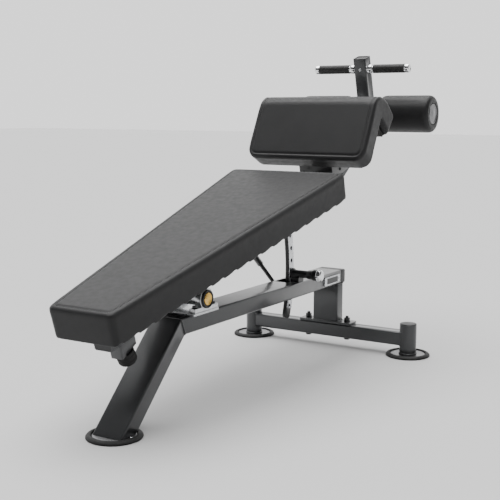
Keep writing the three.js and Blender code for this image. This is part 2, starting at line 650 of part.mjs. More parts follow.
function sectorStrip() {
  const x0 = SECTOR.right + GAP;
  const x1 = x0 + STRIP.thickness;
  const strip = slab(sectorOutline(STRIP.inner, STRIP.outer, STRIP.bottom, STRIP.top), x0, x1, 10);
  return cut(strip, ...sectorHoles(x0 - 1, x1 + 1));
}

/** Plate beside the rail that the gas spring's upper eye bears on, with its spacer. */
function springPlate() {
  const { length, inset, thickness } = SPRING_PLATE;
  const depth = RAIL_DEPTH - 2 * inset;
  const outer = SPRING.x + SPRING.tube + GAP;
  const spacer = slab(roundRect(length - 32, RAIL_DEPTH - 14, 4), outer + 1, -RAIL_WIDTH / 2 - GAP);
  const plate = slab(roundRect(length, depth, 12), outer, outer + thickness, 4);
  return join(spacer, plate).translate(0, SPRING.along, SPRING_UP);
}

function handlePost() {
  const { size, wall, bottom, top } = HANDLE_POST;
  const tube = rectTube(size, size, 4, wall, top - bottom);
  const body = tube.translate(0, POST_MIDDLE, bottom);
  const shaftHole = turnedX(rodProfile(ROLLER_SHAFT_RADIUS + GAP, -size, size), POST_MIDDLE, ROLLER.up);
  const barHole = turnedX(rodProfile(HANDLE.radius + GAP, -size, size), HANDLE_ALONG, HANDLE.up);
  return cut(body, shaftHole, barHole);
}

function handlePostCap() {
  const { size, wall, top } = HANDLE_POST;
  const plug = size - 2 * (wall + GAP);
  return extrude(roundRect(plug, plug, 2), 14).translate(0, POST_MIDDLE, top - 16);
}

/** Chrome cross bar with a flange at each side of the post and a thicker cap at each end. */
function handleBar() {
  const { radius, half, grip, gripStart, gripEnd, up } = HANDLE;
  const wall = HANDLE_POST.size / 2;
  const side = (s) => [[radius, s * (wall + 4)], [grip + 1, s * (wall + 5)], [grip + 1, s * (gripStart - 5)],
    [radius, s * (gripStart - 4)], [radius, s * (gripEnd + GAP)], [grip, s * (gripEnd + GAP)],
    [grip, s * (half - 5)], [grip - 4, s * half], [0, s * half]];
  return turnedX([...side(-1).reverse(), ...side(1)], HANDLE_ALONG, up, 20);
}

const handleGrip = (side) => turnedX(
  ringProfile(HANDLE.grip, HANDLE.radius + GAP, HANDLE.gripStart, HANDLE.gripEnd), 0, 0, 20)
  .scale(side, 1, 1).translate(0, HANDLE_ALONG, HANDLE.up);

/** Shaft through the post, with a spacer collar up to each roller. */
function rollerShaft() {
  const wall = HANDLE_POST.size / 2;
  const end = ROLLER.outer - ROLLER.recess - 8;
  const side = (s) => [[ROLLER_SHAFT_RADIUS, s * (wall + GAP)], [19, s * (wall + GAP)],
    [19, s * (ROLLER.inner - 2)], [ROLLER_SHAFT_RADIUS, s * (ROLLER.inner - 2)],
    [ROLLER_SHAFT_RADIUS, s * end], [0, s * end]];
  return turnedX([...side(-1).reverse(), ...side(1)], POST_MIDDLE, ROLLER.up);
}

function ankleRoller(side) {
  const { radius, inner, outer, cap, recess, up } = ROLLER;
  const bore = ROLLER_SHAFT_RADIUS + 0.5;
  const soft = 8;
  const profile = [[bore, inner], [radius - soft, inner], [radius - 2, inner + 3], [radius, inner + soft],
    [radius, outer - soft], [radius - 2, outer - 3], [radius - soft, outer], [cap + 1, outer],
    [cap + 1, outer - recess], [bore, outer - recess], [bore, inner]];
  return turnedX(profile).scale(side, 1, 1).translate(0, POST_MIDDLE, up);
}

function rollerCap(side) {
  const { outer, cap, recess, up } = ROLLER;
  const start = outer - recess + GAP;
  const profile = [[0, start], [cap, start], [cap, start + recess], [cap - 2, start + recess + 1],
    [0, start + recess + 1]];
  return turnedX(profile).scale(side, 1, 1).translate(0, POST_MIDDLE, up);
}

// ---------------------------------------------------------------- assembly
function buildFrame(group) {
  piece(group, 'front_leg', frontLeg(), PAINT);
  piece(group, 'main_beam', mainBeam(), PAINT);
  piece(group, 'beam_end_cap', beamEndCap(), PLASTIC);
  piece(group, 'badge_plate', badgePlate(), STEEL);
  piece(group, 'rear_column', rearColumn(), PAINT);
  piece(group, 'column_base_plate', columnBasePlate(), PAINT);
  piece(group, 'rear_crossbar', rearCrossbar(), PAINT);
  const feet = [['front', 0, FRONT_FOOT_Y]];
  for (const [name, side] of SIDES) {
    const x = side * TRACK / 2;
    feet.push([name, x, COLUMN_Y]);
    piece(group, `column_bolt_${name}`, columnBolt(side), BLACK_STEEL);
    piece(group, `foot_post_${name}`, footPost(x), PAINT);
    piece(group, `foot_post_cap_${name}`, footPostCap(x), PLASTIC);
  }
  for (const [name, x, y] of feet) {
    piece(group, `rubber_foot_${name}`, rubberFoot(x, y), RUBBER);
    piece(group, `foot_disc_${name}`, footDisc(x, y), STEEL);
  }
}

function buildBearing(group) {
  piece(group, 'pivot_plate', pivotPlate(), CAST);
  for (const [name, side] of SIDES) {
    piece(group, `pivot_block_${name}`, pivotBlock(side), CAST);
    piece(group, `pivot_bolt_${name}_front`, pivotBolt(side, -1), BLACK_STEEL);
    piece(group, `pivot_bolt_${name}_rear`, pivotBolt(side, 1), BLACK_STEEL);
    piece(group, `pivot_cap_${name}`, pivotCap(side), PLASTIC);
    piece(group, `pivot_disc_${name}`, pivotDisc(side), GOLD);
  }
}

function buildTiltLock(group) {
  piece(group, 'pin_housing', pinHousing(), BLACK_STEEL);
  piece(group, 'lock_pin', lockPin(), STEEL);
  piece(group, 'pin_knob', pinKnob(), CHROME);
  piece(group, 'gas_spring_stud', springStud(), STEEL);
  piece(group, 'gas_spring_rod', springRod(), BLACK_STEEL);
  piece(group, 'gas_spring_tube', springTube(), BLACK_STEEL);
}

function buildCarriage(group) {
  piece(group, 'carriage_rail', carriageRail(), PAINT);
  piece(group, 'carriage_riser', carriageRiser(), PAINT);
  piece(group, 'carriage_hub', carriageHub(), CAST);
  piece(group, 'pivot_shaft', pivotShaft(), STEEL);
  piece(group, 'stop_bracket', stopBracket(), PAINT);
  piece(group, 'stop_bumper', stopBumper(), RUBBER);
  piece(group, 'back_pad_board', padBoard(), PLYWOOD);
  piece(group, 'back_pad_cushion', padCushion(), VINYL);
  piece(group, 'knee_pad_bracket', kneeBracket(), BLACK_STEEL);
  piece(group, 'knee_pad_board', kneeBoard(), PLYWOOD);
  piece(group, 'knee_pad_cushion', kneeCushion(), VINYL);
  piece(group, 'sector_bar', sectorBar(), BLACK_STEEL);
  piece(group, 'sector_strip', sectorStrip(), STEEL);
  piece(group, 'gas_spring_plate', springPlate(), BLACK_STEEL);
}

function buildUpright(group) {
  piece(group, 'handle_post', handlePost(), PAINT);
  piece(group, 'handle_post_cap', handlePostCap(), PLASTIC);
  piece(group, 'handle_bar', handleBar(), CHROME);
  piece(group, 'roller_shaft', rollerShaft(), STEEL);
  for (const [name, side] of SIDES) {
    piece(group, `handle_grip_${name}`, handleGrip(side), RUBBER);
    piece(group, `ankle_roller_${name}`, ankleRoller(side), VINYL);
    piece(group, `roller_cap_${name}`, rollerCap(side), PLASTIC);
  }
}

const frame = new THREE.Group();
buildFrame(frame);
buildBearing(frame);
buildTiltLock(frame);

const carriage = new THREE.Group();
carriage.position.set(0, 0, PIVOT_Z);
carriage.rotation.x = PAD_ANGLE * DEG;
buildCarriage(carriage);
buildUpright(carriage);

// The origin is on the floor, under the middle of the whole bench.
const bench = new THREE.Group();
bench.add(frame, carriage);
bench.updateMatrixWorld(true);
const bounds = new THREE.Box3().setFromObject(bench, true);
bench.position.set(0, -(bounds.min.y + bounds.max.y) / 2, -bounds.min.z);

export default bench;
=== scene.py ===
import json
import logging
import math
from dataclasses import dataclass
from enum import Enum
from typing import Callable, Iterable, Optional, Sequence

import bmesh
import bpy
import numpy as np
from mathutils import Matrix, Vector
from mathutils.bvhtree import BVHTree
from mathutils.kdtree import KDTree


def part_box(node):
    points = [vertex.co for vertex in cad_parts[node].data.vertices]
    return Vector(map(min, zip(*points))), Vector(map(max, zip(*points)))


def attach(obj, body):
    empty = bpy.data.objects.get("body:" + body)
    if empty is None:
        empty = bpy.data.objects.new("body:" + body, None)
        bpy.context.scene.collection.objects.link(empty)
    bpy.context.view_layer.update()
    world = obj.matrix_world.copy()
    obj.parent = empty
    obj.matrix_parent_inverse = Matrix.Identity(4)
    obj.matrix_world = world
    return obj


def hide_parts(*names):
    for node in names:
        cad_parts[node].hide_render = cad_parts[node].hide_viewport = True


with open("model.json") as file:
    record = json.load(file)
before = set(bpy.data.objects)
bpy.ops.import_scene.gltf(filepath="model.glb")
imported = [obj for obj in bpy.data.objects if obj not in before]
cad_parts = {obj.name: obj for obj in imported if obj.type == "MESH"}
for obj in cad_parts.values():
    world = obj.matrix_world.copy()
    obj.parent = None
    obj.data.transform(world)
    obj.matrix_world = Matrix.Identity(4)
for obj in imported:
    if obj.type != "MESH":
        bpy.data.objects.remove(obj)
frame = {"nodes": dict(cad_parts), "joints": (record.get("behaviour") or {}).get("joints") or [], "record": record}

log = logging.getLogger("bench")
MM = 0.001
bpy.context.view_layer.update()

Colour = tuple[float, float, float]
Profile = Sequence[tuple[float, float]]


class Slot(Enum):
    """The record's material slots."""

    PAINT = "frame_paint"
    BLACK_STEEL = "black_steel"
    VINYL = "upholstery"
    BOARD = "pad_board"
    PLASTIC = "black_plastic"
    RUBBER = "black_rubber"
    BEARING = "bearing_metal"
    STEEL = "bright_steel"
    CHROME = "chrome"
    GOLD = "gold_metal"


class Body(Enum):
    """The bodies that move on their own."""

    FRAME = "frame"
    CARRIAGE = "carriage"
    LEFT_ROLLER = "left_roller"
    RIGHT_ROLLER = "right_roller"
    PIN = "pull_pin"
    ROD = "gas_spring_rod"
    TUBE = "gas_spring_tube"


class Axis(Enum):
    """Which way a turned piece's own +Z points."""

    UP = "Z"
    ACROSS = "X"


SIDES = {"left": -1.0, "right": 1.0}


# ---------------------------------------------------------------- finishes
class Nodes:
    """A short way to write one material's nodes."""

    def __init__(self, name: str) -> None:
        """Starts a material with a Principled shader wired to its output."""
        self.material = bpy.data.materials.new(name)
        self.material.use_nodes = True
        self.tree = self.material.node_tree
        self.shader = self.tree.nodes["Principled BSDF"]
        self.place = self.add("ShaderNodeTexCoord").outputs["Object"]

    def add(self, kind: str, **settings: object) -> bpy.types.Node:
        """Adds a node and sets its properties.

        Args:
            kind: the node's type name.
            settings: properties to set on it.

        Returns:
            The new node.
        """
        node = self.tree.nodes.new(kind)
        for key, value in settings.items():
            setattr(node, key, value)
        return node

    def link(self, source: bpy.types.NodeSocket, target: bpy.types.NodeSocket) -> None:
        """Joins two sockets."""
        self.tree.links.new(source, target)

    def noise(self, scale: float, detail: float = 4.0, rough: float = 0.5) -> bpy.types.NodeSocket:
        """A noise pattern on the piece, as a value about 0.5.

        Args:
            scale: waves per metre.
            detail: octaves.
            rough: strength of the finer octaves.

        Returns:
            The noise's value socket.
        """
        node = self.add("ShaderNodeTexNoise")
        node.inputs["Scale"].default_value = scale
        node.inputs["Detail"].default_value = detail
        node.inputs["Roughness"].default_value = rough
        self.link(self.place, node.inputs["Vector"])
        return node.outputs["Fac"]

    def cells(self, scale: float, feature: str = "SMOOTH_F1") -> bpy.types.NodeSocket:
        """A cell pattern on the piece.

        Args:
            scale: cells per metre.
            feature: the Voronoi feature.

        Returns:
            The distance socket.
        """
        node = self.add("ShaderNodeTexVoronoi", feature=feature)
        node.inputs["Scale"].default_value = scale
        self.link(self.place, node.inputs["Vector"])
        return node.outputs["Distance"]

    def spread(self, value: bpy.types.NodeSocket, low: float, high: float) -> bpy.types.NodeSocket:
        """Maps a pattern's middle range onto low to high.

        Args:
            value: the pattern.
            low: result where the pattern is 0.3.
            high: result where the pattern is 0.7.

        Returns:
            The mapped socket.
        """
        node = self.add("ShaderNodeMapRange")
        node.inputs["From Min"].default_value = 0.3
        node.inputs["From Max"].default_value = 0.7
        node.inputs["To Min"].default_value = low
        node.inputs["To Max"].default_value = high
        self.link(value, node.inputs["Value"])
        return node.outputs["Result"]

    def blend(self, value: bpy.types.NodeSocket, one: Colour, two: Colour) -> bpy.types.NodeSocket:
        """Mixes two colours by a pattern.

        Args:
            value: the pattern.
            one: colour where it is low.
            two: colour where it is high.

        Returns:
            The colour socket.
        """
        node = self.add("ShaderNodeValToRGB")
        node.color_ramp.elements[0].position = 0.35
        node.color_ramp.elements[0].color = (*one, 1.0)
        node.color_ramp.elements[1].position = 0.65
        node.color_ramp.elements[1].color = (*two, 1.0)
        self.link(value, node.inputs["Fac"])
        return node.outputs["Color"]

    def bumps(self, layers: Iterable[tuple[bpy.types.NodeSocket, float, float]]) -> None:
        """Stacks bump layers and wires them to the shader's normal.

        Args:
            layers: height pattern, depth in metres and strength of each layer.
        """
        normal: Optional[bpy.types.NodeSocket] = None
        for height, depth, strength in layers:
            node = self.add("ShaderNodeBump")
            node.inputs["Strength"].default_value = strength
            node.inputs["Distance"].default_value = depth
            self.link(height, node.inputs["Height"])
            if normal is not None:
                self.link(normal, node.inputs["Normal"])
            normal = node.outputs["Normal"]
        if normal is not None:
            self.link(normal, self.shader.inputs["Normal"])

    def set(self, **values: float) -> None:
        """Sets the shader's own sockets, with underscores for spaces."""
        for key, value in values.items():
            self.shader.inputs[key.replace("_", " ")].default_value = value


def shade(colour: Colour, factor: float) -> Colour:
    """A lighter or darker copy of a colour."""
    return (colour[0] * factor, colour[1] * factor, colour[2] * factor)


@dataclass(frozen=True)
class PowderCoat:
    """Sprayed and baked paint with fine metal flake and a slight orange peel."""

    name: str
    colour: Colour
    metallic: float = 0.45
    roughness: float = 0.3
    coat: float = 0.35
    flake: float = 0.18

    def build(self) -> bpy.types.Material:
        """Makes the material."""
        nodes = Nodes(self.name)
        cloud = nodes.noise(9.0, 3.0)
        flake = nodes.noise(1900.0, 1.0)
        mix = nodes.add("ShaderNodeMix", data_type="RGBA", blend_type="MULTIPLY")
        mix.inputs["Factor"].default_value = 1.0
        nodes.link(nodes.blend(cloud, shade(self.colour, 0.96), shade(self.colour, 1.04)), mix.inputs["A"])
        bright = nodes.blend(flake, (1 - self.flake,) * 3, (1 + self.flake,) * 3)
        nodes.link(bright, mix.inputs["B"])
        nodes.link(mix.outputs["Result"], nodes.shader.inputs["Base Color"])
        rough = nodes.spread(nodes.noise(28.0, 5.0), self.roughness - 0.02, self.roughness + 0.03)
        nodes.link(rough, nodes.shader.inputs["Roughness"])
        nodes.set(Metallic=self.metallic, Coat_Weight=self.coat, Coat_Roughness=0.12)
        peel = nodes.noise(420.0, 2.0)
        nodes.bumps([(peel, 0.00006, 0.2), (flake, 0.00003, 0.25)])
        return nodes.material


@dataclass(frozen=True)
class Vinyl:
    """Coated upholstery cloth with a pebbled grain and soft creases."""

    name: str
    colour: Colour
    grain: float = 620.0
    roughness: float = 0.46

    def build(self) -> bpy.types.Material:
        """Makes the material."""
        nodes = Nodes(self.name)
        cloud = nodes.noise(14.0, 4.0)
        tone = nodes.blend(cloud, shade(self.colour, 0.95), shade(self.colour, 1.06))
        nodes.link(tone, nodes.shader.inputs["Base Color"])
        rough = nodes.spread(nodes.noise(60.0, 5.0), self.roughness - 0.06, self.roughness + 0.07)
        nodes.link(rough, nodes.shader.inputs["Roughness"])
        nodes.set(Specular_IOR_Level=0.2, Sheen_Weight=0.02, Sheen_Roughness=0.5)
        pebbles = nodes.cells(self.grain)
        pores = nodes.noise(self.grain * 2.6, 2.0)
        creases = nodes.noise(16.0, 2.0, 0.3)
        nodes.bumps([(creases, 0.0008, 0.06), (pebbles, 0.0002, 0.22), (pores, 0.0001, 0.2)])
        return nodes.material


@dataclass(frozen=True)
class Metal:
    """Bare or plated metal, from cast to polished, with fine drawn lines."""

    name: str
    colour: Colour
    roughness: float
    lines: float = 0.0
    cast: float = 0.0

    def build(self) -> bpy.types.Material:
        """Makes the material."""
        nodes = Nodes(self.name)
        cloud = nodes.noise(40.0, 4.0)
        tone = nodes.blend(cloud, shade(self.colour, 0.92), shade(self.colour, 1.04))
        nodes.link(tone, nodes.shader.inputs["Base Color"])
        smear = nodes.noise(160.0, 5.0, 0.65)
        nodes.link(
            nodes.spread(smear, self.roughness * 0.8, self.roughness * 1.25),
            nodes.shader.inputs["Roughness"],
        )
        nodes.set(Metallic=1.0)
        layers = [(nodes.noise(900.0, 3.0), 0.00004, 0.3)]
        if self.lines:
            stretch = nodes.add("ShaderNodeMapping")
            stretch.inputs["Scale"].default_value = (1.0, 18.0, 18.0)
            nodes.link(nodes.place, stretch.inputs["Vector"])
            brushed = nodes.add("ShaderNodeTexNoise")
            brushed.inputs["Scale"].default_value = 120.0
            brushed.inputs["Detail"].default_value = 3.0
            nodes.link(stretch.outputs["Vector"], brushed.inputs["Vector"])
            layers.append((brushed.outputs["Fac"], 0.00006, self.lines))
        if self.cast:
            layers.append((nodes.noise(330.0, 4.0, 0.7), 0.0003, self.cast))
        nodes.bumps(layers)
        return nodes.material


@dataclass(frozen=True)
class Moulded:
    """Moulded plastic or rubber: fine spark-eroded texture, faint flow marks and dust."""

    name: str
    colour: Colour
    roughness: float
    texture: float = 0.3
    grain: float = 1100.0
    specular: float = 0.45

    def build(self) -> bpy.types.Material:
        """Makes the material."""
        nodes = Nodes(self.name)
        flow = nodes.noise(22.0, 4.0)
        tone = nodes.blend(flow, shade(self.colour, 0.88), shade(self.colour, 1.16))
        nodes.link(tone, nodes.shader.inputs["Base Color"])
        rough = nodes.spread(nodes.noise(90.0, 5.0), self.roughness - 0.05, self.roughness + 0.07)
        nodes.link(rough, nodes.shader.inputs["Roughness"])
        nodes.set(Specular_IOR_Level=self.specular)
        nodes.bumps([(nodes.noise(self.grain, 2.0), 0.0001, self.texture)])
        return nodes.material


@dataclass(frozen=True)
class FoamGrip:
    """Ribbed hand grip rubber: rings across the bar and a pebbled skin."""

    name: str
    colour: Colour

    def build(self) -> bpy.types.Material:
        """Makes the material."""
        nodes = Nodes(self.name)
        tone = nodes.blend(nodes.noise(70.0), shade(self.colour, 0.85), shade(self.colour, 1.2))
        nodes.link(tone, nodes.shader.inputs["Base Color"])
        nodes.link(nodes.spread(nodes.noise(120.0), 0.5, 0.62), nodes.shader.inputs["Roughness"])
        nodes.set(Specular_IOR_Level=0.4)
        nodes.bumps([(nodes.cells(900.0), 0.0002, 0.4)])
        return nodes.material


@dataclass(frozen=True)
class Plywood:
    """Board behind black backing cloth: a coarse weave with slubs."""

    name: str
    colour: Colour

    def build(self) -> bpy.types.Material:
        """Makes the material."""
        nodes = Nodes(self.name)
        tone = nodes.blend(nodes.noise(300.0, 5.0), shade(self.colour, 0.75), shade(self.colour, 1.25))
        nodes.link(tone, nodes.shader.inputs["Base Color"])
        nodes.link(nodes.spread(nodes.noise(40.0), 0.72, 0.86), nodes.shader.inputs["Roughness"])
        nodes.set(Specular_IOR_Level=0.25)
        threads = [nodes.add("ShaderNodeTexWave", bands_direction=way) for way in ("X", "Y")]
        for thread in threads:
            thread.inputs["Scale"].default_value = 260.0
            thread.inputs["Distortion"].default_value = 1.5
            nodes.link(nodes.place, thread.inputs["Vector"])
        nodes.bumps([(thread.outputs["Fac"], 0.00025, 0.4) for thread in threads])
        return nodes.material


class Finishes:
    """One material for each slot."""

    def __init__(self) -> None:
        """Builds every material once."""
        recipes = {
            Slot.PAINT: PowderCoat("graphite_powder_coat", (0.05, 0.0515, 0.0535)),
            Slot.BLACK_STEEL: PowderCoat("black_satin_coat", (0.012, 0.012, 0.013), 0.2, 0.36, 0.2, 0.1),
            Slot.VINYL: Vinyl("black_vinyl", (0.018, 0.018, 0.0185), 620.0, 0.42),
            Slot.BOARD: Plywood("backed_board", (0.035, 0.034, 0.033)),
            Slot.PLASTIC: Moulded("black_moulding", (0.014, 0.014, 0.015), 0.4),
            Slot.RUBBER: Moulded("black_rubber", (0.011, 0.011, 0.011), 0.62, 0.5, 700.0, 0.3),
            Slot.BEARING: Metal("silver_casting", (0.62, 0.63, 0.64), 0.3, 0.0, 0.35),
            Slot.STEEL: Metal("zinc_plate", (0.66, 0.67, 0.69), 0.27, 0.3),
            Slot.CHROME: Metal("polished_chrome", (0.86, 0.87, 0.88), 0.07),
            Slot.GOLD: Metal("gold_anodised", (0.72, 0.45, 0.11), 0.28, 0.25),
        }
        self.materials = {slot: recipe.build() for slot, recipe in recipes.items()}
        self.thread = Moulded("black_thread", (0.02, 0.02, 0.021), 0.7, 0.6, 2400.0, 0.3).build()
        self.smoked = Metal("smoked_metal", (0.2, 0.2, 0.205), 0.3).build()
        self.grip = FoamGrip("grip_rubber", (0.013, 0.013, 0.013)).build()


# ---------------------------------------------------------------- making pieces
@dataclass
class Maker:
    """Turns meshes into finished pieces that ride on a body."""

    finishes: Finishes

    def piece(
        self,
        name: str,
        bm: bmesh.types.BMesh,
        body: Body,
        slot: Slot,
        replaces: Sequence[str] = (),
        material: Optional[bpy.types.Material] = None,
        edge: float = 0.0,
        smooth: float = 40.0,
        steps: int = 2,
    ) -> bpy.types.Object:
        """Makes an object from a mesh, dresses it and fixes it to its body.

        Args:
            name: the piece's name.
            bm: its mesh in place, which is freed.
            body: the body it rides on.
            slot: the record's slot that it takes its finish from.
            replaces: CAD nodes that it stands for.
            material: a finish other than the slot's.
            edge: width of the rounding on its sharp edges, in metres.
            smooth: edges flatter than this many degrees are shaded smooth.
            steps: segments in each rounded edge.

        Returns:
            The finished object.
        """
        mesh = bpy.data.meshes.new(name)
        bm.to_mesh(mesh)
        bm.free()
        obj = bpy.data.objects.new(name, mesh)
        bpy.context.scene.collection.objects.link(obj)
        mesh.shade_smooth()
        if edge:
            bevel = obj.modifiers.new("edges", "BEVEL")
            bevel.width = edge
            bevel.segments = steps
            bevel.limit_method = "ANGLE"
            bevel.angle_limit = math.radians(smooth)
            bevel.harden_normals = True
            bevel.use_clamp_overlap = True
        else:
            mesh.set_sharp_from_angle(angle=math.radians(smooth))
        mesh.materials.append(material or self.finishes.materials[slot])
        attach(obj, body.value)
        if replaces:
            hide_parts(*replaces)
        log.info("%s: %d faces on %s", name, len(mesh.polygons), body.value)
        return obj

    def from_cad(
        self, node: str, body: Body, slot: Slot, edge: float = 0.8 * MM, **more: object
    ) -> bpy.types.Object:
        """Finishes a copy of a CAD node: welded, its flat faces joined, its edges rounded.

        Args:
            node: the CAD node.
            body: the body it rides on.
            slot: its material slot.
            edge: width of the rounded edges, in metres.
            more: what else piece() takes.

        Returns:
            The finished object.
        """
        bm = cad_copy(node)
        return self.piece(f"{node}_body", bm, body, slot, [node], edge=edge, **more)


def cad_copy(node: str) -> bmesh.types.BMesh:
    """A welded copy of a CAD node with its flat faces joined."""
    bm = bmesh.new()
    bm.from_mesh(frame["nodes"][node].data)
    bmesh.ops.remove_doubles(bm, verts=bm.verts, dist=2e-6)
    bmesh.ops.dissolve_limit(
        bm, angle_limit=math.radians(0.4), use_dissolve_boundaries=False, verts=bm.verts, edges=bm.edges
    )
    return bm


def centre(node: str) -> Vector:
    """The middle of a CAD node's box."""
    low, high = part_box(node)
    return (low + high) / 2


def spun(
    profile: Profile, place: Vector, axis: Axis = Axis.UP, steps: int = 72, flip: bool = False
) -> bmesh.types.BMesh:
    """Turns a profile about an axis.

    Args:
        profile: radius and height in millimetres, ending on the axis or where it starts.
        place: where the profile's height 0 goes, in metres.
        axis: which way its height points.
        steps: faces round the axis.
        flip: turns the height the other way.

    Returns:
        The closed mesh.
    """
    bm = bmesh.new()
    verts = [bm.verts.new((r * MM, 0.0, h * MM)) for r, h in profile]
    edges = [bm.edges.new(pair) for pair in zip(verts, verts[1:])]
    if profile[0][0] > 0:
        edges.append(bm.edges.new((verts[-1], verts[0])))
    bmesh.ops.spin(
        bm, geom=verts + edges, cent=(0, 0, 0), axis=(0, 0, 1), angle=math.tau, steps=steps, use_merge=True
    )
    bmesh.ops.remove_doubles(bm, verts=bm.verts, dist=1e-6)
    turn = Matrix.Identity(4) if axis is Axis.UP else Matrix.Rotation(math.pi / 2, 4, "Y")
    if flip:
        turn = turn @ Matrix.Scale(-1, 4, (0, 0, 1))
    bmesh.ops.transform(bm, matrix=Matrix.Translation(place) @ turn, verts=bm.verts)
    bmesh.ops.recalc_face_normals(bm, faces=bm.faces)
    return bm


def soft_profile(profile: Profile, radius: float, steps: int = 4) -> list[tuple[float, float]]:
    """A profile with its corners off the axis rounded.

    Args:
        profile: radius and height in millimetres.
        radius: how far each corner is cut back, at most a third of either side.
        steps: segments in each corner.

    Returns:
        The longer profile.
    """
    points = [Vector(point) for point in profile]
    result: list[tuple[float, float]] = [tuple(points[0])]
    for before, corner, after in zip(points, points[1:], points[2:]):
        reach = min(radius, (before - corner).length / 3, (after - corner).length / 3)
        start = corner + (before - corner).normalized() * reach
        end = corner + (after - corner).normalized() * reach
        for k in range(steps + 1):
            t = k / steps
            result.append(tuple(start * (1 - t) ** 2 + corner * 2 * t * (1 - t) + end * t**2))
    result.append(tuple(points[-1]))
    return result


def prism(
    corners: int, radius: float, height: float, place: Vector, axis: Axis = Axis.UP
) -> bmesh.types.BMesh:
    """A regular prism, such as a nut, from its base at a place.

    Args:
        corners: how many sides.
        radius: to a corner, in metres.
        height: in metres.
        place: the base's centre.
        axis: which way it stands.

    Returns:
        The closed mesh.
    """
    bm = bmesh.new()
    bmesh.ops.create_cone(bm, cap_ends=True, segments=corners, radius1=radius, radius2=radius, depth=height)
    bmesh.ops.translate(bm, vec=(0, 0, height / 2), verts=bm.verts)
    turn = Matrix.Identity(4) if axis is Axis.UP else Matrix.Rotation(math.pi / 2, 4, "Y")
    bmesh.ops.transform(bm, matrix=Matrix.Translation(place) @ turn, verts=bm.verts)
    return bm


def merge(parts: Iterable[bmesh.types.BMesh]) -> bmesh.types.BMesh:
    """One mesh holding several, which are freed."""
    result = bmesh.new()
    for part in parts:
        mesh = bpy.data.meshes.new("part")
        part.to_mesh(mesh)
        part.free()
        result.from_mesh(mesh)
        bpy.data.meshes.remove(mesh)
    return result


def bead(
    path: Sequence[Vector], radius: float, pitch: float, ripple: float = 0.22, sides: int = 8
) -> bmesh.types.BMesh:
    """A closed weld bead whose thickness ripples along its path.

    Args:
        path: corners of the closed path.
        radius: half the bead's thickness.
        pitch: length of one ripple.
        ripple: depth of the ripples, as a share of the radius.
        sides: faces round the bead.

    Returns:
        The closed mesh.
    """
    points = even_steps(path, pitch / 3)
    bm = bmesh.new()
    rings = []
    for k, point in enumerate(points):
        along = (points[(k + 1) % len(points)] - points[k - 1]).normalized()
        size = radius * (1 - ripple * (k % 3) / 2)
        matrix = Matrix.Translation(point) @ along.to_track_quat("Z", "Y").to_matrix().to_4x4()
        made = bmesh.ops.create_circle(bm, cap_ends=False, segments=sides, radius=size, matrix=matrix)
        rings.append({edge for vert in made["verts"] for edge in vert.link_edges})
    for k, ring in enumerate(rings):
        bmesh.ops.bridge_loops(bm, edges=list(rings[k - 1] | ring))
    bmesh.ops.recalc_face_normals(bm, faces=bm.faces)
    return bm


def even_steps(path: Sequence[Vector], step: float) -> list[Vector]:
    """Points at even steps round a closed path.

    Args:
        path: its corners.
        step: wanted distance between points.

    Returns:
        The points.
    """
    lengths = [(path[(k + 1) % len(path)] - path[k]).length for k in range(len(path))]
    total = sum(lengths)
    count = max(8, round(total / step))
    points = []
    leg, start = 0, 0.0
    for k in range(count):
        along = total * k / count
        while along > start + lengths[leg]:
            start += lengths[leg]
            leg += 1
        share = (along - start) / lengths[leg]
        points.append(path[leg].lerp(path[(leg + 1) % len(path)], share))
    return points


def rounded_loop(matrix: Matrix, width: float, depth: float, radius: float, steps: int = 5) -> list[Vector]:
    """Points round a rounded rectangle.

    Args:
        matrix: places its XY plane.
        width: along its X.
        depth: along its Y.
        radius: of its corners.
        steps: segments in each corner.

    Returns:
        The points, in metres.
    """
    points = []
    for quarter, (sx, sy) in enumerate(((1, 1), (-1, 1), (-1, -1), (1, -1))):
        middle = Vector((sx * (width / 2 - radius), sy * (depth / 2 - radius), 0))
        for k in range(steps + 1):
            angle = (quarter + k / steps) * math.pi / 2
            points.append(matrix @ (middle + Vector((math.cos(angle), math.sin(angle), 0)) * radius))
    return points


# ---------------------------------------------------------------- carriage frame
class Layout:
    """Places on the bench, from the frame's joints and mounts."""

    def __init__(self) -> None:
        """Reads the tilt axis and the carriage's slope."""
        joints = {joint["name"]: joint for joint in frame["joints"]}
        mounts = {mount["name"]: mount for mount in frame["record"]["mounts"]}
        tilt = joints["pad_tilt"]["pos_m"]
        normal = mounts["back_pad_face"]["axis"]
        self.pivot = Vector((0, tilt[1], tilt[2]))
        self.slope = math.atan2(-normal[1], normal[2])
        self.carriage = Matrix.Translation(self.pivot) @ Matrix.Rotation(self.slope, 4, "X")

    def at(self, x: float, along: float, up: float) -> Vector:
        """A point in the carriage's frame, in millimetres, as a point of the bench in metres."""
        return self.carriage @ Vector((x * MM, along * MM, up * MM))

    def local(self, point: Vector) -> Vector:
        """A point of the bench in the carriage's frame, in millimetres."""
        return (self.carriage.inverted() @ point) / MM


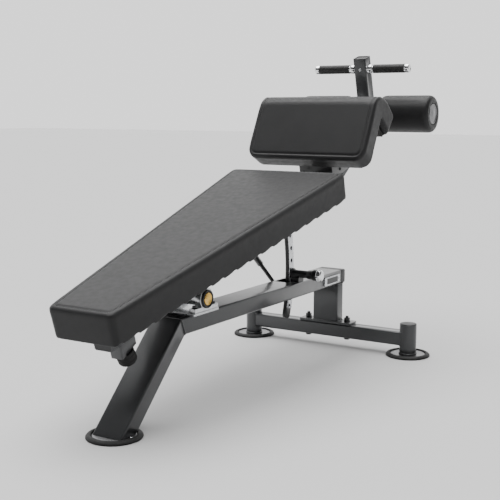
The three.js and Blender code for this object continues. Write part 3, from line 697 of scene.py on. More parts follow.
# ---------------------------------------------------------------- fixed frame
@dataclass
class FloorFrame:
    """Front leg, main beam, rear column, cross tube and the three disc feet."""

    maker: Maker
    layout: Layout
    tube_width: float = 100.0
    tube_depth: float = 50.0
    corner: float = 6.0
    weld: float = 2.6
    ripple: float = 3.4

    def build(self) -> None:
        """Makes the whole fixed frame."""
        self.tubes()
        self.welds()
        self.column_bolts()
        self.rear_end()
        for side in ("front", *SIDES):
            self.foot(side)
        for side in SIDES:
            self.foot_post(side)

    def tubes(self) -> None:
        """Painted tubes and plates, with softened edges."""
        for node in ("front_leg", "main_beam", "rear_column", "rear_crossbar", "column_base_plate"):
            self.maker.from_cad(node, Body.FRAME, Slot.PAINT, 0.9 * MM)

    def welds(self) -> None:
        """Ripple beads where the tubes meet."""
        column = centre("rear_column")
        low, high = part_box("rear_column")
        size = (self.tube_width * MM, self.tube_depth * MM, self.corner * MM)
        for name, height in (("column_top_weld", high.z), ("column_bottom_weld", low.z)):
            place = Matrix.Translation((column.x, column.y, height))
            self.bead(name, rounded_loop(place, *size))
        beam = centre("main_beam")
        joint = self.layout.pivot + Vector((0, -(94.6 * MM), beam.z - self.layout.pivot.z))
        tilt = Matrix.Rotation(math.radians(22.5) - math.pi / 2, 4, "X")
        stretch = self.tube_depth / math.cos(math.radians(22.5)) * MM
        self.bead("leg_weld", rounded_loop(Matrix.Translation(joint) @ tilt, size[0], stretch, size[2]))
        for side, sign in SIDES.items():
            post = centre(f"foot_post_{side}")
            bar = centre("rear_crossbar")
            turn = Matrix.Rotation(math.pi / 2, 4, "Y")
            reach = post.x - sign * 29.0 * MM
            place = Matrix.Translation((reach, bar.y, bar.z)) @ turn
            self.bead(f"crossbar_weld_{side}", self.coped(rounded_loop(place, 0.05, 0.05, 0.006), post))

    def coped(self, loop: list[Vector], post: Vector) -> list[Vector]:
        """Moves a loop's points along X onto a round post's wall."""
        wall = 30.2 * MM
        sign = math.copysign(1, loop[0].x - post.x)
        for point in loop:
            away = min(abs(point.y - post.y), wall * 0.999)
            point.x = post.x + sign * math.sqrt(wall**2 - away**2)
        return loop

    def bead(self, name: str, loop: list[Vector]) -> None:
        """One painted weld bead on the fixed frame."""
        mesh = bead(loop, self.weld * MM, self.ripple * MM)
        self.maker.piece(name, mesh, Body.FRAME, Slot.PAINT, smooth=70)

    def column_bolts(self) -> None:
        """Hex bolt, washers and nut on each side of the column."""
        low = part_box("rear_crossbar")[0]
        plate_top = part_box("column_base_plate")[1].z
        for side in SIDES:
            spot = centre(f"column_bolt_{side}")
            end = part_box(f"column_bolt_{side}")[1].z
            base = Vector((spot.x, spot.y, 0))
            head = base + Vector((0, 0, low.z - 8.3 * MM))
            nut = base + Vector((0, 0, plate_top + 2.0 * MM))
            thread = [(0, 0), (5.4, 0), (6, 0.8)]
            rise = (end - head.z) / MM
            turns = int((rise - 60) / 1.5)
            for k in range(turns):
                thread += [(6, 60 + 1.5 * k), (5.3, 60.75 + 1.5 * k)]
            thread += [(6, rise - 2), (4.8, rise - 0.4), (0, rise - 0.4)]
            parts = [
                spun(thread, head, steps=32),
                prism(6, 11 * MM, 7.5 * MM, head),
                prism(6, 11 * MM, 13 * MM, nut),
                spun([(0, 0), (12, 0), (12, 1.7), (0, 1.7)], base + Vector((0, 0, plate_top + 0.2 * MM))),
            ]
            self.maker.piece(
                f"column_fixing_{side}", merge(parts), Body.FRAME, Slot.BLACK_STEEL,
                [f"column_bolt_{side}"], edge=0.5 * MM, smooth=50,
            )

    def rear_end(self) -> None:
        """Plastic end cap and the blank badge plate with its two rivets."""
        self.maker.from_cad("beam_end_cap", Body.FRAME, Slot.PLASTIC, 1.8 * MM, steps=3)
        self.maker.from_cad("badge_plate", Body.FRAME, Slot.STEEL, 0.4 * MM)
        low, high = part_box("badge_plate")
        middle = (low + high) / 2
        rivets = []
        for end in (-1, 1):
            place = Vector((high.x - 0.1 * MM, middle.y + end * 52 * MM, middle.z))
            rivets.append(spun([(0, 0), (3.2, 0), (3.0, 0.8), (2.0, 1.5), (0, 1.8)], place, Axis.ACROSS, 24))
        self.maker.piece("badge_rivets", merge(rivets), Body.FRAME, Slot.STEEL)
        inset = bmesh.new()
        turn = Matrix.Translation((high.x, middle.y, middle.z)) @ Matrix.Rotation(math.pi / 2, 4, "Y")
        bmesh.ops.create_grid(inset, x_segments=1, y_segments=1, size=0.5, matrix=Matrix.Identity(4))
        bmesh.ops.scale(inset, vec=(21 * MM, 84 * MM, 1), verts=inset.verts)
        bmesh.ops.bevel(
            inset, geom=inset.verts[:], offset=3 * MM, affect="VERTICES", segments=4, profile=0.5, material=-1
        )
        bmesh.ops.transform(inset, matrix=turn, verts=inset.verts)
        raised = bmesh.ops.extrude_face_region(inset, geom=inset.faces[:], use_keep_orig=True)
        verts = [item for item in raised["geom"] if isinstance(item, bmesh.types.BMVert)]
        bmesh.ops.translate(inset, vec=(0.5 * MM, 0, 0), verts=verts)
        bmesh.ops.recalc_face_normals(inset, faces=inset.faces)
        self.maker.piece("badge_panel", inset, Body.FRAME, Slot.BLACK_STEEL, edge=0.15 * MM)

    def foot(self, side: str) -> None:
        """Rubber ring foot with its steel disc and, at the front, a holding screw."""
        node = f"rubber_foot_{side}"
        low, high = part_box(node)
        spot = Vector(((low.x + high.x) / 2, (low.y + high.y) / 2, low.z))
        rim = (high.x - low.x) / 2 / MM
        rubber = [(0, 0), (rim - 6, 0), (rim - 1.5, 0.8), (rim, 3), (rim - 1, 6), (rim - 4, 9.6)]
        rubber += [(rim - 8, 11.6)]
        rubber += [(rim - 11, 12), (rim - 14.5, 11.4), (rim - 15.6, 9), (rim - 16.5, 5), (0, 5)]
        self.maker.piece(
            f"foot_ring_{side}", spun(soft_profile(rubber, 1.2), spot, steps=96), Body.FRAME, Slot.RUBBER,
            [node], smooth=60,
        )
        disc = rim - 17.4
        plate = [(0, 5.3), (disc, 5.3), (disc, 7.3), (disc - 1, 8.3), (disc - 9, 8.3)]
        plate += [(disc - 11, 8.0), (0, 8.0)]
        self.maker.piece(
            f"foot_plate_{side}", spun(plate, spot, steps=96), Body.FRAME, Slot.STEEL, [f"foot_disc_{side}"],
            material=self.maker.finishes.smoked, smooth=50,
        )
        if side != "front":
            return
        for sign in (-1, 1):
            screw = spot + Vector((sign * 56.5 * MM, 0, 8.0 * MM))
            name = f"foot_screw_{'left' if sign < 0 else 'right'}"
            self.maker.piece(name, cap_screw(screw, 4.2), Body.FRAME, Slot.STEEL, smooth=50)

    def foot_post(self, side: str) -> None:
        """Round post under each end of the cross tube, with its domed cap."""
        low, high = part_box(f"foot_post_{side}")
        spot = Vector(((low.x + high.x) / 2, (low.y + high.y) / 2, low.z))
        tall = (high.z - low.z) / MM
        wall = [(26, 0), (29.4, 0), (30, 0.6), (30, tall - 0.6), (29.4, tall), (26, tall), (26, 0)]
        self.maker.piece(
            f"foot_tube_{side}", spun(wall[:-1], spot, steps=80), Body.FRAME, Slot.PAINT,
            [f"foot_post_{side}"],
        )
        cap = [(0, -9), (25.5, -9), (25.5, 0.3), (29.2, 0.3), (30, 1.0), (29.9, 2.2), (28.6, 3.5)]
        cap += [(24, 4.2), (0, 4.3)]
        self.maker.piece(
            f"foot_tube_cap_{side}", spun(cap, spot + Vector((0, 0, tall * MM)), steps=80), Body.FRAME,
            Slot.PLASTIC, [f"foot_post_cap_{side}"],
        )
        collar = [Vector((29.6 * MM * math.cos(a), 29.6 * MM * math.sin(a), 0)) for a in turn_angles(40)]
        ring = [spot + Vector((0, 0, 1.0 * MM)) + point for point in collar]
        self.bead(f"foot_weld_{side}", ring)


def turn_angles(count: int) -> list[float]:
    """Angles at even steps round a circle."""
    return [math.tau * k / count for k in range(count)]


def cap_screw(place: Vector, radius: float, axis: Axis = Axis.UP, flip: bool = False) -> bmesh.types.BMesh:
    """A button-head screw with a hex socket, its radius in millimetres."""
    bm = spun(
        [(0, 0), (radius, 0), (radius, 0.5), (radius * 0.9, 1.6), (radius * 0.62, 2.5), (radius * 0.48, 2.6),
         (radius * 0.46, 1.1), (0, 1.0)],
        place, axis, 30, flip,
    )
    return bm


# ---------------------------------------------------------------- tilt bearing
@dataclass
class TiltBearing:
    """Base plate, two bearing blocks with caps and discs, hub and shaft."""

    maker: Maker

    def build(self) -> None:
        """Makes the bearing."""
        self.maker.from_cad("pivot_plate", Body.FRAME, Slot.BEARING, 0.8 * MM)
        self.hub()
        for side, sign in SIDES.items():
            self.maker.from_cad(f"pivot_block_{side}", Body.FRAME, Slot.BEARING, 1.6 * MM, steps=3, smooth=36)
            self.cover(side, sign)
            for end in ("front", "rear"):
                self.bolt(f"pivot_bolt_{side}_{end}")

    def hub(self) -> None:
        """Turned hub welded under the rail, and the shaft through it."""
        place = centre("carriage_hub")
        half = (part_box("carriage_hub")[1].x - place.x) / MM
        hub = [(12.9, -half), (21.2, -half), (22.3, 1.1 - half), (22.3, half - 1.1), (21.2, half)]
        hub += [(12.9, half)]
        self.maker.piece(
            "hub_sleeve", spun(hub, place, Axis.ACROSS), Body.CARRIAGE, Slot.BEARING, ["carriage_hub"]
        )
        half = (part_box("pivot_shaft")[1].x - place.x) / MM
        shaft = [(0, -half), (11.5, -half), (12.5, 1 - half), (12.5, half - 1), (11.5, half), (0, half)]
        self.maker.piece(
            "hub_shaft", spun(shaft, place, Axis.ACROSS), Body.CARRIAGE, Slot.STEEL, ["pivot_shaft"]
        )

    def cover(self, side: str, sign: float) -> None:
        """Dished black cap with a raised rim, and the gold disc in it."""
        low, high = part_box(f"pivot_cap_{side}")
        place = (low + high) / 2
        place.x = low.x if sign > 0 else high.x
        cap = [(0, 0), (27, 0), (27, 8.4), (26.2, 9.7), (24.8, 10), (22.8, 9.6), (21.2, 7.6)]
        cap += [(20.4, 6.6), (0, 6.4)]
        self.maker.piece(
            f"pivot_cover_{side}", spun(cap, place, Axis.ACROSS, flip=sign < 0), Body.FRAME, Slot.PLASTIC,
            [f"pivot_cap_{side}"], smooth=50,
        )
        ridge = [(0, 6.6), (18.6, 6.6), (18.6, 8.6), (17.8, 9.5), (16.4, 9.9), (15.2, 9.3)]
        ridge += [(14.6, 8.9), (0, 8.9)]
        self.maker.piece(
            f"pivot_badge_{side}", spun(ridge, place, Axis.ACROSS, flip=sign < 0), Body.FRAME, Slot.GOLD,
            [f"pivot_disc_{side}"], smooth=50,
        )

    def bolt(self, node: str) -> None:
        """Flanged hex bolt head."""
        low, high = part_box(node)
        base = Vector(((low.x + high.x) / 2, (low.y + high.y) / 2, low.z))
        parts = [
            spun([(0, 0), (8.8, 0), (8.8, 1.2), (7.6, 2.2), (0, 2.2)], base, steps=40),
            prism(6, 7.4 * MM, 7.8 * MM, base),
        ]
        self.maker.piece(
            f"{node}_head", merge(parts), Body.FRAME, Slot.BLACK_STEEL, [node], edge=0.5 * MM, smooth=50
        )


# ---------------------------------------------------------------- tilt lock and gas spring
@dataclass
class TiltLock:
    """Pull pin, its housing and knob, and the gas spring."""

    maker: Maker

    def build(self) -> None:
        """Makes the pull pin and the gas spring."""
        self.maker.from_cad("pin_housing", Body.FRAME, Slot.BLACK_STEEL, 1.0 * MM, smooth=38)
        self.pin()
        self.knob()
        self.spring()

    def pin(self) -> None:
        """Ground pin with a chamfered tip."""
        low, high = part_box("lock_pin")
        place = (low + high) / 2
        place.x = low.x
        run = (high.x - low.x) / MM
        profile = [(0, 0), (4.2, 0), (4.9, 0.4), (6.2, 2.4), (6.2, run), (0, run)]
        self.maker.piece(
            "lock_pin_rod", spun(profile, place, Axis.ACROSS, 48), Body.PIN, Slot.STEEL, ["lock_pin"]
        )

    def knob(self) -> None:
        """Black skirt and ribbed collar with a polished domed head."""
        low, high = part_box("pin_knob")
        place = (low + high) / 2
        place.x = low.x
        run = (high.x - low.x) / MM
        skirt = [(13.7, 0), (15, 0), (15.5, 0.8), (15.5, 18.6), (16.4, 19)]
        ribs = []
        for k in range(5):
            start = 20.0 + 2.9 * k
            ribs += [(17.6, start), (18.5, start + 0.5), (18.5, start + 1.9), (17.6, start + 2.4)]
        black = skirt + ribs + [(17.6, 35.0), (13.7, 35.0)]
        self.maker.piece(
            "pin_grip", spun(black, place, Axis.ACROSS, 64), Body.PIN, Slot.BLACK_STEEL, smooth=50,
        )
        dome = [(0, 45), (6.6, 45), (6.6, 35.2), (17.8, 35.2), (19.4, 36.0), (20, 37.6), (20, run - 8)]
        dome += [(19.2, run - 5.2), (17, run - 2.8), (13, run - 1.0), (7, run - 0.1), (0, run)]
        self.maker.piece(
            "pin_head", spun(soft_profile(dome, 0.8), place, Axis.ACROSS, 64),
            Body.PIN, Slot.CHROME, ["pin_knob"], smooth=50,
        )

    def spring(self) -> None:
        """Gas spring: black coated rod, painted cylinder with end fittings, and the stud."""
        self.maker.from_cad("gas_spring_rod", Body.ROD, Slot.BLACK_STEEL, 0.6 * MM, smooth=38)
        self.maker.from_cad("gas_spring_tube", Body.TUBE, Slot.BLACK_STEEL, 0.8 * MM, smooth=38)
        self.maker.from_cad("gas_spring_stud", Body.FRAME, Slot.STEEL, 0.5 * MM, smooth=38)
        self.maker.from_cad("gas_spring_plate", Body.CARRIAGE, Slot.BLACK_STEEL, 0.8 * MM, smooth=38)


# ---------------------------------------------------------------- carriage steelwork
@dataclass
class Carriage:
    """Rail, riser, stop, knee bracket and the sector bar with its bright strip."""

    maker: Maker
    layout: Layout
    kink: float = 991.0
    rise: float = 18.4

    def build(self) -> None:
        """Makes the tilting steelwork."""
        for node in ("carriage_rail", "carriage_riser", "stop_bracket"):
            self.maker.from_cad(node, Body.CARRIAGE, Slot.PAINT, 0.9 * MM)
        self.maker.from_cad("knee_pad_bracket", Body.CARRIAGE, Slot.BLACK_STEEL, 0.9 * MM)
        self.maker.from_cad("sector_bar", Body.CARRIAGE, Slot.BLACK_STEEL, 0.8 * MM, smooth=36)
        self.maker.from_cad("sector_strip", Body.CARRIAGE, Slot.STEEL, 0.3 * MM, smooth=36)
        self.bumper()
        self.welds()
        self.rail_plug()
        self.knee_fixings()
        self.strip_screw()

    def bumper(self) -> None:
        """Ribbed rubber buffer under the stop bracket."""
        node = frame["nodes"]["stop_bumper"]
        spot = centre("stop_bumper")
        lean = self.layout.slope + math.radians(15.0)
        down = Vector((0, math.sin(lean), -math.cos(lean)))
        reach = [(Vector(vert.co) - spot).dot(down) for vert in node.data.vertices]
        top = spot + down * min(reach)
        profile = [(0, 0), (25.5, 0), (27, 1.5), (27, 9), (25.8, 11), (27, 13), (27, 22), (25.8, 24)]
        profile += [(27, 26)]
        profile += [(26.6, 33), (24, 37.8), (18, 41.2), (9, 41.9), (7, 40.5), (0, 40.2)]
        bm = spun(soft_profile(profile, 1.0), Vector((0, 0, 0)), steps=64)
        turn = down.to_track_quat("Z", "Y").to_matrix().to_4x4()
        bmesh.ops.transform(bm, matrix=Matrix.Translation(top) @ turn, verts=bm.verts)
        self.maker.piece("stop_buffer", bm, Body.CARRIAGE, Slot.RUBBER, ["stop_bumper"], smooth=50)

    def welds(self) -> None:
        """Beads at the rail's kink, at the post and round the stop bracket."""
        lean = Matrix.Rotation(math.radians(self.rise / 2) - math.pi / 2, 4, "X")
        place = self.layout.carriage @ Matrix.Translation((0, self.kink * MM, 47.7 * MM)) @ lean
        stretch = 50 / math.cos(math.radians(self.rise / 2)) * MM
        self.bead("kink_weld", rounded_loop(place, 60 * MM, stretch, 6 * MM))
        stop = self.layout.carriage @ Matrix.Translation((0, -316 * MM, 22.6 * MM))
        self.bead("stop_weld", rounded_loop(stop, 42 * MM, 68 * MM, 5 * MM))
        flat = Matrix.Rotation(-math.pi / 2, 4, "X")
        face = self.layout.carriage @ Matrix.Translation((0, 1286.2 * MM, 147.5 * MM)) @ flat
        self.bead("post_weld", rounded_loop(face, 48 * MM, 52.7 * MM, 5 * MM))

    def bead(self, name: str, loop: list[Vector]) -> None:
        """One painted weld bead on the carriage."""
        self.maker.piece(name, bead(loop, 2.4 * MM, 3.4 * MM), Body.CARRIAGE, Slot.PAINT, smooth=70)

    def rail_plug(self) -> None:
        """Plastic plug in the rail's open front end."""
        place = self.layout.carriage @ Matrix.Translation((0, -392 * MM, 47.7 * MM))
        plug = rounded_block(53 * MM, 43 * MM, 12 * MM, 3 * MM)
        bmesh.ops.transform(plug, matrix=place @ Matrix.Rotation(-math.pi / 2, 4, "X"), verts=plug.verts)
        self.maker.piece("rail_plug", plug, Body.CARRIAGE, Slot.PLASTIC, edge=0.8 * MM)

    def knee_fixings(self) -> None:
        """Bolts through the bracket's cheeks and its front web."""
        parts = []
        for sign in (-1, 1):
            side = self.layout.at(sign * 65.6, 912, 92)
            parts.append(cap_screw(side, 7.0, Axis.ACROSS, flip=sign < 0))
            parts.append(cap_screw(self.layout.at(sign * 65.6, 958, 92), 7.0, Axis.ACROSS, flip=sign < 0))
        self.maker.piece("knee_cheek_bolts", merge(parts), Body.CARRIAGE, Slot.BLACK_STEEL, smooth=50)
        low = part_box("knee_pad_bracket")[0]
        web = self.layout.local(Vector((0, low.y, low.z))).y
        fronts = []
        for x in (-38, 38):
            screw = cap_screw(Vector((0, 0, 0)), 6.5)
            turn = Matrix.Translation((x * MM, web * MM, 102 * MM)) @ Matrix.Rotation(math.pi / 2, 4, "X")
            bmesh.ops.transform(screw, matrix=self.layout.carriage @ turn, verts=screw.verts)
            fronts.append(screw)
        log.info("knee bracket's web at %.1f mm along the carriage", web)
        self.maker.piece("knee_web_bolts", merge(fronts), Body.CARRIAGE, Slot.BLACK_STEEL, smooth=50)

    def strip_screw(self) -> None:
        """Screw that holds the bright strip's lower end."""
        angle = math.radians(-27.6)
        place = self.layout.at(7.7, 607 * math.cos(angle), 607 * math.sin(angle))
        screw = cap_screw(place, 4.5, Axis.ACROSS)
        self.maker.piece("strip_screw", screw, Body.CARRIAGE, Slot.BLACK_STEEL, smooth=50)


def rounded_block(
    width: float, depth: float, height: float, radius: float, steps: int = 5
) -> bmesh.types.BMesh:
    """A block with rounded upright edges, standing on its origin.

    Args:
        width: along X.
        depth: along Y.
        height: along Z.
        radius: of the upright edges.
        steps: segments in each.

    Returns:
        The closed mesh.
    """
    bm = bmesh.new()
    bmesh.ops.create_cube(bm, size=1.0, matrix=Matrix.Translation((0, 0, 0.5)))
    bmesh.ops.scale(bm, vec=(width, depth, height), verts=bm.verts)
    upright = [edge for edge in bm.edges if abs(edge.verts[0].co.z - edge.verts[1].co.z) > height / 2]
    bmesh.ops.bevel(bm, geom=upright, offset=radius, affect="EDGES", segments=steps, profile=0.5, material=-1)
    return bm


# ---------------------------------------------------------------- soft pieces
@dataclass
class Upholstery:
    """Steps that turn a plain closed block into a padded, sewn cushion."""

    maker: Maker
    voxel: float = 6.0 * MM
    pressure: float = 4.0
    frames: int = 20
    evening: int = 90
    cap: float = 3.5 * MM

    def remesh(self, bm: bmesh.types.BMesh, rounds: int) -> bpy.types.Object:
        """Evens a block's mesh out and softens its edges.

        Args:
            bm: the closed block, which is freed.
            rounds: how many times the points are evened out.

        Returns:
            A plain object with the even mesh.
        """
        mesh = bpy.data.meshes.new("block")
        bm.to_mesh(mesh)
        shape = BVHTree.FromBMesh(bm)
        bm.free()
        obj = bpy.data.objects.new("block", mesh)
        bpy.context.scene.collection.objects.link(obj)
        even = obj.modifiers.new("even", "REMESH")
        even.mode = "VOXEL"
        even.voxel_size = self.voxel
        self.settle(obj)
        soft = bmesh.new()
        soft.from_mesh(obj.data)
        for _ in range(rounds):
            bmesh.ops.smooth_vert(
                soft, verts=soft.verts, factor=0.5, use_axis_x=True, use_axis_y=True, use_axis_z=True
            )
        for vert in soft.verts:
            vert.co = shape.find_nearest(vert.co)[0]
        soft.to_mesh(obj.data)
        soft.free()
        return obj

    def settle(self, obj: bpy.types.Object) -> None:
        """Applies an object's modifiers to its mesh."""
        graph = bpy.context.evaluated_depsgraph_get()
        final = bpy.data.meshes.new_from_object(obj.evaluated_get(graph))
        old = obj.data
        obj.modifiers.clear()
        obj.data = final
        bpy.data.meshes.remove(old)

    def inflate(self, obj: bpy.types.Object, held: Callable[[Vector], bool]) -> None:
        """Blows the cover up as cloth from inside, holding part of it, and caps the movement.

        Args:
            obj: the even cushion.
            held: says which points are fixed to the board.
        """
        rest = [vert.co.copy() for vert in obj.data.vertices]
        group = obj.vertex_groups.new(name="held")
        group.add([k for k, point in enumerate(rest) if held(point)], 1.0, "REPLACE")
        cloth = obj.modifiers.new("cover", "CLOTH")
        cloth.settings.quality = 5
        cloth.settings.use_pressure = True
        cloth.settings.uniform_pressure_force = self.pressure
        cloth.settings.vertex_group_mass = "held"
        cloth.settings.effector_weights.gravity = 0.0
        cloth.point_cache.frame_start = 1
        cloth.point_cache.frame_end = self.frames
        scene = bpy.context.scene
        for step in range(1, self.frames + 1):
            scene.frame_set(step)
        graph = bpy.context.evaluated_depsgraph_get()
        blown = obj.evaluated_get(graph).data
        moved = [vert.co.copy() for vert in blown.vertices]
        obj.modifiers.clear()
        scene.frame_set(1)
        swell = self.swell(obj, rest, moved, held)
        for vert, start, rise in zip(obj.data.vertices, rest, swell):
            vert.co = start + vert.normal * min(self.cap, rise)
        obj.vertex_groups.clear()
        log.info("cover blown by up to %.1f mm, capped at %.1f mm", max(swell) / MM, self.cap / MM)

    def swell(
        self,
        obj: bpy.types.Object,
        rest: list[Vector],
        moved: list[Vector],
        held: Callable[[Vector], bool],
    ) -> list[float]:
        """How far each point rises off its rest surface, evened out so that the cover stays taut.

        Args:
            obj: the cushion.
            rest: where each point started.
            moved: where each point ended.
            held: says which points are fixed to the board.

        Returns:
            The rise of each point, never below zero.
        """
        normals = [vert.normal.copy() for vert in obj.data.vertices]
        rise = np.array([max(0.0, (end - start).dot(out)) for start, end, out in zip(rest, moved, normals)])
        free = np.array([0.0 if held(point) else 1.0 for point in rest])
        ends = np.array([edge.vertices[:] for edge in obj.data.edges])
        one, two = np.concatenate([ends, ends[:, ::-1]]).T
        count = 1.0 + np.bincount(one, minlength=len(rest))
        for _ in range(self.evening):
            rise = free * (rise + np.bincount(one, weights=rise[two], minlength=len(rest))) / count
        return [float(value) for value in rise]

    def refine(self, obj: bpy.types.Object) -> None:
        """Adds one level of subdivision."""
        finer = obj.modifiers.new("finer", "SUBSURF")
        finer.levels = 1
        finer.render_levels = 1
        self.settle(obj)

    def sew(
        self, obj: bpy.types.Object, loop: Sequence[Vector], depth: float, width: float
    ) -> list[Vector]:
        """Pulls a seam into the cover.

        Args:
            obj: the cushion.
            loop: the seam's closed route, near the surface.
            depth: how deep the seam is drawn in.
            width: how wide its valley is.

        Returns:
            The route on the sewn surface.
        """
        tree = surface(obj)
        route = [tree.find_nearest(point)[0] for point in even_steps(loop, 1.5 * MM)]
        near = KDTree(len(route))
        for k, point in enumerate(route):
            near.insert(point, k)
        near.balance()
        normals = [vert.normal.copy() for vert in obj.data.vertices]
        for vert, normal in zip(obj.data.vertices, normals):
            away = near.find(vert.co)[2]
            if away < 3 * width:
                vert.co -= normal * depth * math.exp(-((away / width) ** 2))
        tree = surface(obj)
        return [tree.find_nearest(point)[0] for point in route]

    def stitches(self, name: str, obj: bpy.types.Object, route: Sequence[Vector], pitch: float) -> None:
        """A row of short stitches along a seam on a cushion.

        Args:
            name: the piece's name.
            obj: the cushion, in its final place.
            route: the seam's points, in the same place.
            pitch: distance between stitches.
        """
        tree = surface(obj)
        points = even_steps(route, pitch)
        bm = bmesh.new()
        for before, point in zip([points[-1], *points], points):
            normal = tree.find_nearest(point)[1]
            along = (point - before).normalized()
            turn = along.to_track_quat("X", "Z").to_matrix().to_4x4()
            size = Matrix.Diagonal((pitch * 0.36, 0.45 * MM, 0.45 * MM, 1))
            place = Matrix.Translation(point + normal * 0.1 * MM) @ turn @ size
            bmesh.ops.create_uvsphere(bm, u_segments=6, v_segments=4, radius=1.0, matrix=place)
        self.maker.piece(name, bm, Body.CARRIAGE, Slot.VINYL, material=self.maker.finishes.thread, smooth=80)

    def finish(self, obj: bpy.types.Object, name: str, node: str, place: Matrix) -> None:
        """Args:
            obj: the cushion in its own frame.
            name: the piece's name.
            node: the CAD node that it stands for.
            place: its frame.
        """
        obj.name = obj.data.name = name
        obj.data.transform(place)
        obj.data.shade_smooth()
        obj.data.materials.clear()
        obj.data.materials.append(self.maker.finishes.materials[Slot.VINYL])
        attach(obj, Body.CARRIAGE.value)
        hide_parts(node)
        log.info("%s: %d faces, padded", name, len(obj.data.polygons))


def round_rim(
    bm: bmesh.types.BMesh, chosen: Callable[[bmesh.types.BMEdge], bool], radius: float, segments: int = 4
) -> None:
    """Rounds the chosen edges of a block.

    Args:
        bm: the block.
        chosen: picks the edges.
        radius: how far the rounding reaches, in metres.
        segments: steps in the rounding.
    """
    bm.normal_update()
    edges = [edge for edge in bm.edges if len(edge.link_faces) == 2 and chosen(edge)]
    bmesh.ops.bevel(
        bm, geom=edges, offset=radius, affect="EDGES", segments=segments, profile=0.5, material=-1
    )


def surface(obj: bpy.types.Object) -> BVHTree:
    """A search tree over an object's own mesh."""
    bm = bmesh.new()
    bm.from_mesh(obj.data)
    tree = BVHTree.FromBMesh(bm)
    bm.free()
    return tree


def soft_loop(corners: Sequence[tuple[Vector, float]], steps: int = 6) -> list[Vector]:
    """A closed loop with rounded corners.

    Args:
        corners: each corner and how far it is cut back.
        steps: segments in each corner.

    Returns:
        The loop's points.
    """
    points: list[Vector] = []
    for k, (corner, reach) in enumerate(corners):
        before = corners[k - 1][0]
        after = corners[(k + 1) % len(corners)][0]
        start = corner + (before - corner).normalized() * reach
        end = corner + (after - corner).normalized() * reach
        for j in range(steps + 1):
            t = j / steps
            points.append(start * (1 - t) ** 2 + corner * 2 * t * (1 - t) + end * t**2)
    return points


